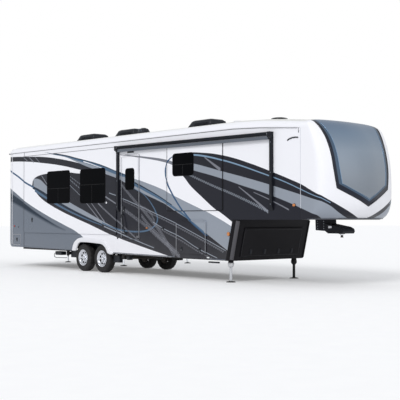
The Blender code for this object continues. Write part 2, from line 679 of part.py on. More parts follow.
def make_running_gear():
    """Two axles on leaf springs, with four wheels."""
    for word, direction in (("rear", -1), ("front", 1)):
        x = AXLE_MID_X + direction * AXLE_HALF_SPACING
        seat = TYRE_FACE_Y - TYRE_W / 2 + HUB_SEAT - SEAT
        inner, outer = DRUM_Y
        half = ((seat, HUB_R), (outer, HUB_R), (outer, DRUM_R), (inner, DRUM_R), (inner, AXLE_TUBE_R))
        profile = [(-y, r) for y, r in half] + [(y, r) for y, r in half[::-1]]
        turned(f"axle_{word}", profile, "Y", (x, 0, TYRE_R), 16, "steel")
        for side, side_word in ((-1, "curb"), (1, "street")):
            make_wheel(f"{side_word}_{word}", x, side)
    for side, side_word in ((-1, "curb"), (1, "street")):
        make_springs(f"springs_{side_word}", side)


def make_wheel(word, x, side):
    """A tyre and its rim; the profiles run along Y from the tyre's middle plane, outboard positive."""
    middle = side * (TYRE_FACE_Y - TYRE_W / 2)
    centre = (x, middle, TYRE_R)
    half = TYRE_W / 2
    side_profile = ((0.088, BEAD_R), (half - 0.0045, 0.265), (half, 0.31), (half - 0.0075, 0.352),
                    (half - 0.021, 0.378), (half - 0.039, TYRE_R))
    tyre = [(side * a, r) for a, r in side_profile] + [(-side * a, r) for a, r in side_profile[::-1]]
    turned(f"tyre_{word}", tyre, "Y", centre, WHEEL_STEPS, "tyre", closed=True)
    barrel = BEAD_R - SEAT
    rim = ((0.088, 0.028), (0.084, 0.045), (0.046, 0.050), (0.044, 0.125), (0.062, 0.165), (0.092, 0.198),
           (0.1085, 0.214), (0.1085, 0.2335), (0.0985, 0.2335), (0.0885, barrel), (-0.0885, barrel),
           (-0.0985, 0.2335), (-0.1085, 0.2335), (-0.1085, 0.214), (-0.07, 0.203), (0.02, 0.185),
           (0.024, 0.10), (HUB_SEAT, 0.085), (HUB_SEAT, 0.03))
    turned(f"rim_{word}", [(side * a, r) for a, r in rim], "Y", centre, WHEEL_STEPS, "rim")


def leaf_outline(middle_x):
    """A leaf spring seen from the side, thick over the axle and thin at its eyes."""
    seat_z = TYRE_R + AXLE_TUBE_R + SEAT
    reach = SPRING_HALF - 0.08
    below, above = [], []
    for k in range(9):
        share = -1 + k / 4
        x = middle_x + reach * share
        z = seat_z + 0.055 * share * share
        below.append((x, z))
        above.append((x, z + 0.045 - 0.027 * abs(share)))
    return below + above[::-1]


def make_springs(name, side):
    """Both leaf springs of one side with their hangers and the equaliser between them."""
    centre = side * RAIL_Y
    eye_z = TYRE_R + AXLE_TUBE_R + 0.055
    hanger_top = RAIL_LOW_Z - SEAT
    pieces = []
    for i, offset in enumerate((-1, 1)):
        x = AXLE_MID_X + offset * AXLE_HALF_SPACING
        pieces.append(plate(f"{name}_leaf_{i}", "Y", *grown((centre, centre), 0.0225), leaf_outline(x), "steel"))
        outer_x = x + offset * (SPRING_HALF - 0.08)
        hanger = ((outer_x - 0.05, hanger_top), (outer_x - 0.035, eye_z - 0.02), (outer_x + 0.035, eye_z - 0.02),
                  (outer_x + 0.05, hanger_top))
        pieces.append(plate(f"{name}_hanger_{i}", "Y", *grown((centre, centre), 0.035), hanger, "steel"))
    inner = AXLE_HALF_SPACING - SPRING_HALF + 0.08
    equaliser = ((AXLE_MID_X - inner - 0.03, eye_z - 0.01), (AXLE_MID_X + inner + 0.03, eye_z - 0.01),
                 (AXLE_MID_X + inner + 0.03, eye_z + 0.03), (AXLE_MID_X + 0.05, hanger_top),
                 (AXLE_MID_X - 0.05, hanger_top), (AXLE_MID_X - inner - 0.03, eye_z + 0.03))
    pieces.append(plate(f"{name}_equaliser", "Y", *grown((centre, centre), 0.030), equaliser, "steel"))
    pieces[-1].name = name
    combine(pieces[-1], pieces[:-1], "UNION")


def make_flare(name, side):
    """The raised lip round a wheel arch, let into the wall that carries it."""
    outline = FLARE_OUTER + FLARE_INNER[::-1]
    low, high = sorted((side * (WALL_Y - FLARE_SEAT), side * FACE_Y))
    return plate(name, "Y", low, high, outline, "shell")


def ring_at(points, y):
    """An outline in X and Z as points at one Y."""
    return [(x, y, z) for x, z in points]


def make_room(name, side, x, z, depth, windows):
    """A slide-out room: a flanged outer wall with a tunnel behind it, open towards the inside."""
    face, back = FACE_Y, FACE_Y - FASCIA
    tunnel_x, tunnel_z = grown(x, -OVERLAP), grown(z, -OVERLAP)
    lip_x, lip_z = grown(tunnel_x, ROOM_LIP), grown(tunnel_z, ROOM_LIP)
    inner_x, inner_z = grown(tunnel_x, -ROOM_WALL), grown(tunnel_z, -ROOM_WALL)
    end = FACE_Y - depth
    # outline, distance from the centreline
    steps = (
        ((x, z), face), ((x, z), back), ((tunnel_x, tunnel_z), back), ((tunnel_x, tunnel_z), end + ROOM_LIP_T),
        ((lip_x, lip_z), end + ROOM_LIP_T), ((lip_x, lip_z), end), ((inner_x, inner_z), end),
        ((inner_x, inner_z), back - 0.03),
    )
    rings = [ring_at(rounded(*outline, 0.012, 1), side * y) for outline, y in steps]
    room = skin(name, rings, "shell")
    cutters = []
    for window_name, x0, x1, z0, z1, radius in windows:
        low, high = sorted((side * (FACE_Y + 0.05), side * (FACE_Y - 0.15)))
        outline = rounded((x0, x1), (z0, z1), radius)
        cutters.append(plate(f"{window_name}_hole", "Y", low, high, outline, "shell"))
        make_window(window_name, side, (x0, x1), (z0, z1), radius, FACE_Y)
    return combine(room, cutters, "DIFFERENCE")


def make_window(name, side, x, z, radius, plane):
    """A tinted window: its flange lies on the wall and its pane fills the hole."""
    flange = rounded(grown(x, WINDOW_FLANGE), grown(z, WINDOW_FLANGE), radius + WINDOW_FLANGE)
    pane = rounded(grown(x, -SEAT), grown(z, -SEAT), radius - SEAT)
    seat = plane + SEAT
    steps = ((flange, seat + WINDOW_PROUD), (flange, seat), (pane, seat), (pane, plane - WINDOW_T))
    return skin(name, [ring_at(points, side * y) for points, y in steps], "glass")


def make_rooms():
    """The four slide-out rooms with their windows."""
    make_room("room_living_curb", -1, LIVING_X, LIVING_Z, LIVING_DEPTH, CURB_WINDOWS)
    make_room("room_bedroom_curb", -1, BEDROOM_X, BEDROOM_Z, BEDROOM_DEPTH, (BEDROOM_WINDOW,))
    make_room("room_living_street", 1, STREET_LIVING_X, LIVING_Z, LIVING_DEPTH, STREET_WINDOWS)
    make_room("room_bedroom_street", 1, BEDROOM_X, BEDROOM_Z, BEDROOM_DEPTH, (STREET_BEDROOM_WINDOW,))


def make_entry_door():
    """The entry door in its frame, hinged along its front edge."""
    outer = rounded(grown(DOOR_X, DOOR_FRAME_W), grown(DOOR_Z, DOOR_FRAME_W), 0.05)
    sleeve = rounded(grown(DOOR_X, DOOR_SLEEVE), grown(DOOR_Z, DOOR_SLEEVE), 0.03)
    inside = rounded(DOOR_X, DOOR_Z, 0.02)
    flange, inner = FACE_Y - FASCIA, WALL_Y - WALL
    steps = ((outer, FACE_Y), (outer, flange), (sleeve, flange), (sleeve, inner), (inside, inner), (inside, FACE_Y))
    skin("door_frame", [ring_at(points, -y) for points, y in steps], "shell", closed=True)
    leaf_x, leaf_z = grown(DOOR_X, -DOOR_CLEAR), grown(DOOR_Z, -DOOR_CLEAR)
    outside = -(FACE_Y - DOOR_INSET)
    leaf = plate("entry_door", "Y", outside, outside + DOOR_T, rounded(leaf_x, leaf_z, 0.016), "shell")
    window_name, x0, x1, z0, z1, radius = DOOR_WINDOW
    hole_y = (-(FACE_Y + 0.1), -(FACE_Y - 0.2))
    hole = plate("entry_window_hole", "Y", *hole_y, rounded((x0, x1), (z0, z1), radius), "shell")
    combine(leaf, [hole], "DIFFERENCE")
    make_window(window_name, -1, (x0, x1), (z0, z1), radius, FACE_Y - DOOR_INSET)
    axis_y = -(FACE_Y + HINGE_PROUD)
    knuckle = turned("entry_hinge", ((leaf_z[0] + 0.04, HINGE_R), (leaf_z[1] - 0.04, HINGE_R)), "Z",
                     (DOOR_X[1], axis_y, 0), 8, "aluminium")
    strap = block("entry_strap", (leaf_x[1] - 0.03, DOOR_X[1]), (axis_y - 0.001, outside + 0.004),
                  (leaf_z[0] + 0.05, leaf_z[1] - 0.05), "aluminium")
    combine(leaf, [strap, knuckle], "UNION")


def make_bay_doors():
    """Luggage doors: one on each side, and the wide one under the gooseneck, all hinged along the top."""
    for side, word in ((-1, "curb"), (1, "street")):
        plug_x = grown(BAY_DOOR_X, -BAY_DOOR_LAP - 0.01)
        plug_z = grown(BAY_DOOR_Z, -BAY_DOOR_LAP - 0.01)
        flange = rounded(BAY_DOOR_X, BAY_DOOR_Z, 0.03)
        plug = rounded(plug_x, plug_z, 0.02)
        steps = ((flange, FACE_Y), (flange, FACE_Y - FASCIA), (plug, FACE_Y - FASCIA),
                 (plug, FACE_Y - FASCIA - BAY_PLUG_T))
        leaf = skin(f"bay_door_{word}", [ring_at(points, side * y) for points, y in steps], "shell")
        combine(leaf, [bay_hinge(word, side * (FACE_Y + HINGE_PROUD), side)], "UNION")
    low, high = FRONT_DOOR_H
    y = (-FRONT_DOOR_Y, FRONT_DOOR_Y)
    leaf = block("bay_door_front", (SEAT, FASCIA), y, (low, high), "dark_shell")
    plug = block("front_plug", (-0.03, SEAT + 0.002), grown(y, -BAY_DOOR_LAP - 0.01),
                 (low + BAY_DOOR_LAP + 0.01, high - BAY_DOOR_LAP - 0.01), "dark_shell")
    hinge_x = FASCIA + HINGE_PROUD - 0.004
    knuckle = turned("front_hinge", ((-FRONT_DOOR_Y + 0.05, HINGE_R), (FRONT_DOOR_Y - 0.05, HINGE_R)), "Y",
                     (hinge_x, 0, high), 8, "steel")
    combine(lean(leaf), [lean(plug), lean(knuckle)], "UNION")


def bay_hinge(word, axis_y, side):
    """The knuckle along the top edge of a side luggage door."""
    x = grown(BAY_DOOR_X, -0.05)
    rod = turned(f"bay_hinge_{word}", ((x[0], HINGE_R), (x[1], HINGE_R)), "X",
                 (0, axis_y, BAY_DOOR_Z[1]), 8, "aluminium")
    y = sorted((axis_y, side * (FACE_Y - 0.004)))
    strap = block(f"bay_strap_{word}", grown(x, -0.01), y, (BAY_DOOR_Z[1] - 0.03, BAY_DOOR_Z[1] + 0.002), "aluminium")
    return combine(rod, [strap], "UNION")


def make_roof_units():
    """Three air conditioners, a louvred vent cover and a low dome."""
    for name, start in AIR_PLACES:
        rings = []
        for along, half, share in AIR_SECTIONS:
            x, height = start + along, AIR_H * share
            base = crown_z(x) + SEAT
            right = ((half, 0.0), (half, height * 0.55), (half - 0.04, height * 0.9), (half - 0.11, height))
            points = list(right) + [(-y, z) for y, z in right[::-1]]
            rings.append([(x, y, base + z) for y, z in points])
        skin(name, rings, "black_plastic", smooth_deg=25)
    top = crown_z(VENT_X[0]) + VENT_H
    middle_y = sum(VENT_Y) / 2
    step = 0.01
    slope = (roof_z(VENT_X[0], middle_y + step) - roof_z(VENT_X[0], middle_y)) / step
    seat = roof_z(VENT_X[0], middle_y) + SEAT
    rings = [[(x, y, seat + slope * (y - middle_y)) for x, y in rounded(VENT_X, VENT_Y, 0.04)]]
    for drop, inset in ((0.10, 0.0), (0.03, 0.03), (0.0, 0.08)):
        outline = rounded(grown(VENT_X, -inset), grown(VENT_Y, -inset), 0.04)
        rings.append([(x, y, top - drop) for x, y in outline])
    skin("roof_vent", rings, "black_plastic", smooth_deg=25)
    dome = turned("roof_dome", ((0.0, DOME_R), (0.018, DOME_R), (0.036, DOME_R * 0.8), (DOME_H, DOME_R * 0.25)),
                  "Z", (0, 0, SEAT), 20, "shell")
    slope = math.atan2(GUTTER_Z - ROOF_SLOPE_Z, ROOF_SLOPE_X - ROOF_BREAK_X)
    place = Matrix.Translation((DOME_X, 0, crown_z(DOME_X))) @ Matrix.Rotation(slope, 4, "Y")
    dome.data.transform(place)


def make_awning():
    """The rolled awning on its two folded arms."""
    (rear_x, rear_z), (front_arm_x, front_z) = AWNING_REAR, AWNING_FRONT
    for word, x, z in (("rear", rear_x, rear_z), ("front", front_arm_x, front_z)):
        wall, face = -(WALL_Y + SEAT), -(WALL_Y + ARM_T)
        tip = AWNING_Y - AWNING_R
        outline = (
            (wall, ARM_LOW_Z), (wall - 0.014, ARM_LOW_Z), (face, ARM_LOW_Z + 0.09), (face, z - 0.12),
            (tip, z - 0.07), (tip, z + AWNING_R), (wall, z + AWNING_R),
        )
        plate(f"awning_arm_{word}", "X", x, x + ARM_W, outline, "black_plastic")
    ends = ((rear_x + ARM_W + 0.001, AWNING_Y, rear_z), (front_arm_x - 0.001, AWNING_Y, front_z))
    pipe("awning_roller", ends, AWNING_R, (0, 1, 0), "black_plastic", 14)


def make_rear_fittings():
    """Ladder and tail lamps on the rear."""
    ladder_x = REAR_X - LADDER_OUT
    low, high = LADDER_Z
    rails = [pipe(f"ladder_rail_{i}", ((ladder_x, y, low), (ladder_x, y, high)), 0.013, (1, 0, 0), "aluminium")
             for i, y in enumerate(LADDER_Y)]
    parts = rails[1:]
    for i in range(9):
        ends = [(ladder_x, y, RUNG_LOW_Z + RUNG_STEP * i) for y in LADDER_Y]
        parts.append(pipe(f"rung_{i}", ends, 0.012, (1, 0, 0), "aluminium", 6))
    for i, (y, z) in enumerate((y, z) for z in (low + 0.25, (low + high) / 2, high - 0.15) for y in LADDER_Y):
        parts.append(pipe(f"standoff_{i}", ((ladder_x, y, z), (REAR_X - SEAT, y, z)), 0.010, (0, 0, 1),
                          "aluminium", 6))
    rails[0].name = "ladder"
    combine(rails[0], parts, "UNION")
    for side, word in ((-1, "curb"), (1, "street")):
        y = sorted(side * edge for edge in LAMP_Y)
        plate(f"tail_lamp_{word}", "X", REAR_X - 0.022, REAR_X - SEAT, rounded(y, LAMP_Z, 0.03), "lamp")


def main():
    """Builds the whole trailer."""
    remove_all()
    make_walls()
    make_floors()
    make_chassis()
    make_running_gear()
    make_rooms()
    make_entry_door()
    make_bay_doors()
    make_roof_units()
    make_awning()
    make_rear_fittings()
    for thing in bpy.data.objects:
        thing.data.transform(Matrix.Translation((DATUM_X, 0, 0)))


main()
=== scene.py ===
"""The finish of a parked fifth wheel travel trailer: paint, glazing, running gear, fittings and lamps.

Metres, +X towards the hitch, +Z up, -Y the curb side with the entry door. Every piece is built in the
row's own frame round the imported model, and object coordinates are places on the trailer, so that one paint
scheme runs across walls, doors and slide-out rooms and stays on them as they move.
"""

import json
import logging
import math
from collections.abc import Callable, Iterable, Sequence
from dataclasses import dataclass
from enum import Enum

import bmesh
import bpy
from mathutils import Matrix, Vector
from mathutils.bvhtree import BVHTree

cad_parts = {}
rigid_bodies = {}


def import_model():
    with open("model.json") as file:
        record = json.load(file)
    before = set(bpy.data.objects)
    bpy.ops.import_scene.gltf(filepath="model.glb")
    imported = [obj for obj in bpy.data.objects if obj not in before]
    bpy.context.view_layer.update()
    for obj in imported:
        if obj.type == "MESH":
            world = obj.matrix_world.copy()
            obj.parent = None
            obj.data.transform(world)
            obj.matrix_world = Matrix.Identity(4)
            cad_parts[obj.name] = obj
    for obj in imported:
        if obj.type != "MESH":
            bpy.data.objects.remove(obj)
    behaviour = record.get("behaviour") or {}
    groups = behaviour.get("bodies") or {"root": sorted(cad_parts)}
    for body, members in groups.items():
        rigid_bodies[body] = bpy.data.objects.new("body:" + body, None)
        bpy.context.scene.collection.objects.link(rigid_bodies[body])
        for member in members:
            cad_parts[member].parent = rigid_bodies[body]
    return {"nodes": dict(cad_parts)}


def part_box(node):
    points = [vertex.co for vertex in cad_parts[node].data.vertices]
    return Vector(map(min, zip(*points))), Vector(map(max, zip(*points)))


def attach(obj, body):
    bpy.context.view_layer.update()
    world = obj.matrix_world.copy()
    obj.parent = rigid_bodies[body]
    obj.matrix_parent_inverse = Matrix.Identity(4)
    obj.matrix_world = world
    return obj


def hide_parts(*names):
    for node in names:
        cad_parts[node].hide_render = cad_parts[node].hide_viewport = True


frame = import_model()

LOG = logging.getLogger("trailer")
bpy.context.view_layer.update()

Point2 = tuple[float, float]
Point3 = tuple[float, float, float]
Colour = tuple[float, float, float]


class Side(Enum):
    """The two long sides of the trailer, by the sign of Y."""

    CURB = -1
    STREET = 1

    @property
    def word(self) -> str:
        """The side's name as the nodes write it."""
        return self.name.lower()


class Axis(Enum):
    """An axis by the order in which an outline's two coordinates and its depth make a point."""

    X = 0
    Y = 1
    Z = 2

    def place(self, u: float, v: float, depth: float) -> Point3:
        """The point with an outline's two coordinates and a depth along this axis."""
        return ((depth, u, v), (u, depth, v), (u, v, depth))[self.value]


# Places along X in this file start at a datum 2.17 m ahead of the axles' middle. DATUM is where it lies in
# the row's frame; Form, Surface and Graph.place add it or take it off.
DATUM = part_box("front_cap")[0].x - 5.93

# Planes and lengths that every assembly shares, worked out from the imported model.
BOXES = {name: [corner - Vector((DATUM, 0.0, 0.0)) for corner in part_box(name)] for name in frame["nodes"]}
FACE_Y = BOXES["room_living_street"][1].y
WALL_Y = BOXES["front_cap"][1].y
REAR_X = BOXES["rear_cap"][0].x
NOSE_X = BOXES["front_cap"][1].x
REAR_SEAM_X = BOXES["rear_cap"][1].x
CAP_SEAM_X = BOXES["front_cap"][0].x
BELLY_Z = BOXES["front_cap"][0].z
LIFT = 0.0006            # gap under a piece that lies on another


def srgb(red: int, green: int, blue: int) -> Colour:
    """A display colour of 0 to 255 as the linear colour that renders as it."""
    shares = (value / 255 for value in (red, green, blue))
    return tuple(s / 12.92 if s <= 0.04045 else ((s + 0.055) / 1.055) ** 2.4 for s in shares)


class Paint(Enum):
    """The colours of the paint scheme."""

    WHITE = srgb(240, 240, 245)
    CHARCOAL = srgb(37, 38, 46)
    SILVER = srgb(150, 157, 168)
    GREY = srgb(112, 120, 132)
    NAVY = srgb(24, 42, 60)
    STEEL_BLUE = srgb(82, 108, 134)
    PALE_BLUE = srgb(132, 160, 186)
    ASH = srgb(126, 128, 137)
    SILVER_BLUE = srgb(124, 146, 170)
    SHADE = srgb(34, 38, 50)
    DEEP_BLUE = srgb(74, 92, 112)
    LINE_BLUE = srgb(56, 88, 122)
    PANEL = srgb(196, 188, 176)


class Socket:
    """One output of a material's nodes, with arithmetic that adds Math nodes."""

    def __init__(self, graph: "Graph", link: bpy.types.NodeSocket) -> None:
        """Wraps an output socket of a graph."""
        self.graph = graph
        self.link = link

    def math(self, operation: str, *values: "Socket | float", clamp: bool = False) -> "Socket":
        """Adds a Math node with its inputs in order; clamp keeps its result between 0 and 1."""
        settings = {"operation": operation, "use_clamp": clamp}
        return self.graph.add("ShaderNodeMath", settings, dict(enumerate(values)))

    def __add__(self, other: "Socket | float") -> "Socket":
        """Sum."""
        return self.math("ADD", self, other)

    __radd__ = __add__

    def __sub__(self, other: "Socket | float") -> "Socket":
        """Difference."""
        return self.math("SUBTRACT", self, other)

    def __rsub__(self, other: float) -> "Socket":
        """Difference from a number."""
        return self.math("SUBTRACT", other, self)

    def __mul__(self, other: "Socket | float") -> "Socket":
        """Product."""
        return self.math("MULTIPLY", self, other)

    __rmul__ = __mul__

    def __truediv__(self, other: "Socket | float") -> "Socket":
        """Quotient."""
        return self.math("DIVIDE", self, other)

    def __abs__(self) -> "Socket":
        """Absolute value."""
        return self.math("ABSOLUTE", self)

    def above(self, edge: "Socket | float", blur: float = 0.004) -> "Socket":
        """A mask that is 1 where this value is over an edge, changing over a width of blur."""
        return self.math("MULTIPLY_ADD", self - edge, 1 / blur, 0.5, clamp=True)

    def below(self, edge: "Socket | float", blur: float = 0.004) -> "Socket":
        """A mask that is 1 where this value is under an edge, changing over a width of blur."""
        return self.math("MULTIPLY_ADD", self - edge, -1 / blur, 0.5, clamp=True)

    def between(self, low: float, high: float, blur: float = 0.004) -> "Socket":
        """A mask that is 1 from low to high, changing over a width of blur at each end."""
        return self.above(low, blur) * self.below(high, blur)

    def least(self, other: "Socket | float") -> "Socket":
        """The smaller of two values."""
        return self.math("MINIMUM", self, other)

    def most(self, other: "Socket | float") -> "Socket":
        """The larger of two values."""
        return self.math("MAXIMUM", self, other)

    def wave(self, period: float) -> "Socket":
        """A triangle wave from 0 to 1 that repeats each period."""
        return self.math("PINGPONG", self / (period / 2), 1.0)


class Graph:
    """The nodes of one material, written as Python expressions."""

    def __init__(self, name: str) -> None:
        """Makes an empty material of that name."""
        self.material = bpy.data.materials.new(name)
        self.material.use_nodes = True
        self.tree = self.material.node_tree
        self.tree.nodes.clear()

    def add(self, kind: str, settings: dict[str, object] | None = None,
            inputs: dict[str | int, object] | None = None, output: str | int = 0) -> Socket:
        """Adds a node, with its settings first and then its inputs.

        Args:
            kind: the node's type.
            settings: its properties; "stops" are a ramp's (place, colour) and "points" a curve's (x, y).
            inputs: values or sockets by input name or number.
            output: the output to return.

        Returns:
            The output asked for.
        """
        node = self.tree.nodes.new(kind)
        for key, value in (settings or {}).items():
            if key == "stops":
                self._set_stops(node.color_ramp, value)
            elif key == "points":
                self._set_points(node.mapping, value)
            else:
                setattr(node, key, value)
        for key, value in (inputs or {}).items():
            socket = node.inputs[key]
            if isinstance(value, Socket):
                self.tree.links.new(value.link, socket)
            elif socket.type == "RGBA" and len(value) == 3:
                socket.default_value = (*value, 1.0)
            else:
                socket.default_value = value
        return Socket(self, node.outputs[output] if node.outputs else None)

    @staticmethod
    def _set_stops(ramp: bpy.types.ColorRamp, stops: Sequence[tuple[float, Colour]]) -> None:
        """Gives a colour ramp its stops."""
        while len(ramp.elements) < len(stops):
            ramp.elements.new(0.5)
        for element, (place, colour) in zip(ramp.elements, stops):
            element.position = place
            element.color = (*colour, 1.0)

    @staticmethod
    def _set_points(mapping: bpy.types.CurveMapping, points: Sequence[Point2]) -> None:
        """Draws a curve through points, smooth at each."""
        curve = mapping.curves[0]
        while len(curve.points) < len(points):
            curve.points.new(0.5, 0.5)
        for knot, (across, up) in zip(curve.points, points):
            knot.location = (across, up)
            knot.handle_type = "AUTO"
        mapping.update()

    def place(self) -> tuple[Socket, Socket, Socket]:
        """The place on the trailer as X from the datum, Y and Z."""
        here = self.add("ShaderNodeTexCoord", output="Object")
        node = self.add("ShaderNodeSeparateXYZ", inputs={"Vector": here}).link.node
        x, y, z = (Socket(self, node.outputs[i]) for i in range(3))
        return x - DATUM, y, z

    def noise(self, scale: float | Point3, detail: float = 2.0, roughness: float = 0.5) -> Socket:
        """Noise from 0 to 1 over the trailer.

        Args:
            scale: how many grains fit in a metre, for each axis or for all.
            detail: octaves of finer grain.
            roughness: how strong the finer grain is.

        Returns:
            The noise value.
        """
        here = self.add("ShaderNodeTexCoord", output="Object")
        stretch = scale if isinstance(scale, tuple) else (scale,) * 3
        scaled = self.add("ShaderNodeVectorMath", {"operation": "MULTIPLY"}, {0: here, 1: stretch})
        return self.add("ShaderNodeTexNoise", inputs={"Vector": scaled, "Scale": 1.0, "Detail": detail,
            "Roughness": roughness})

    def mix(self, share: Socket | float, first: Socket | Colour, second: Socket | Colour) -> Socket:
        """Mixes two colours; share is how much of the second shows."""
        return self.add("ShaderNodeMix", {"data_type": "RGBA"}, {0: share, 6: first, 7: second}, output=2)

    def bump(self, height: Socket, strength: float, distance: float) -> Socket:
        """A normal that follows a height of 0 to 1, which stands for a distance in metres."""
        return self.add("ShaderNodeBump", inputs={"Height": height, "Strength": strength,
            "Distance": distance})

    def surface(self, **inputs: object) -> bpy.types.Material:
        """Closes the material with a Principled shader.

        Args:
            inputs: the shader's inputs, with spaces written as underscores.

        Returns:
            The material.
        """
        named = {key.replace("_", " "): value for key, value in inputs.items()}
        if "IOR Level" in named:
            named["Specular IOR Level"] = named.pop("IOR Level")
        shader = self.add("ShaderNodeBsdfPrincipled", inputs=named)
        self.add("ShaderNodeOutputMaterial", inputs={"Surface": shader})
        return self.material


class Along(Enum):
    """The coordinate that a sweep runs along."""

    LENGTH = "s"
    HEIGHT = "z"


@dataclass(frozen=True)
class Sweep:
    """A smooth line on the side of the body through (length, height) places."""

    points: tuple[Point2, ...]
    along: Along = Along.LENGTH

    def ordered(self) -> list[Point2]:
        """The places as (run, value), in order of the run."""
        if self.along is Along.LENGTH:
            return sorted(self.points)
        return sorted((height, length) for length, height in self.points)


@dataclass(frozen=True)
class Band:
    """A painted area between two sweeps."""

    paint: Paint
    upper: Sweep
    lower: Sweep
    blur_upper: float = 0.006
    blur_lower: float = 0.006


@dataclass(frozen=True)
class Stripe:
    """A painted line along a sweep, with a half width at its first and last place."""

    paint: Paint
    centre: Sweep
    half: Point2 = (0.014, 0.014)
    hatch: float = 0.0       # period of the strokes that it is made of, or 0 where it is whole
    lean: float = 1.0        # which way those strokes lean


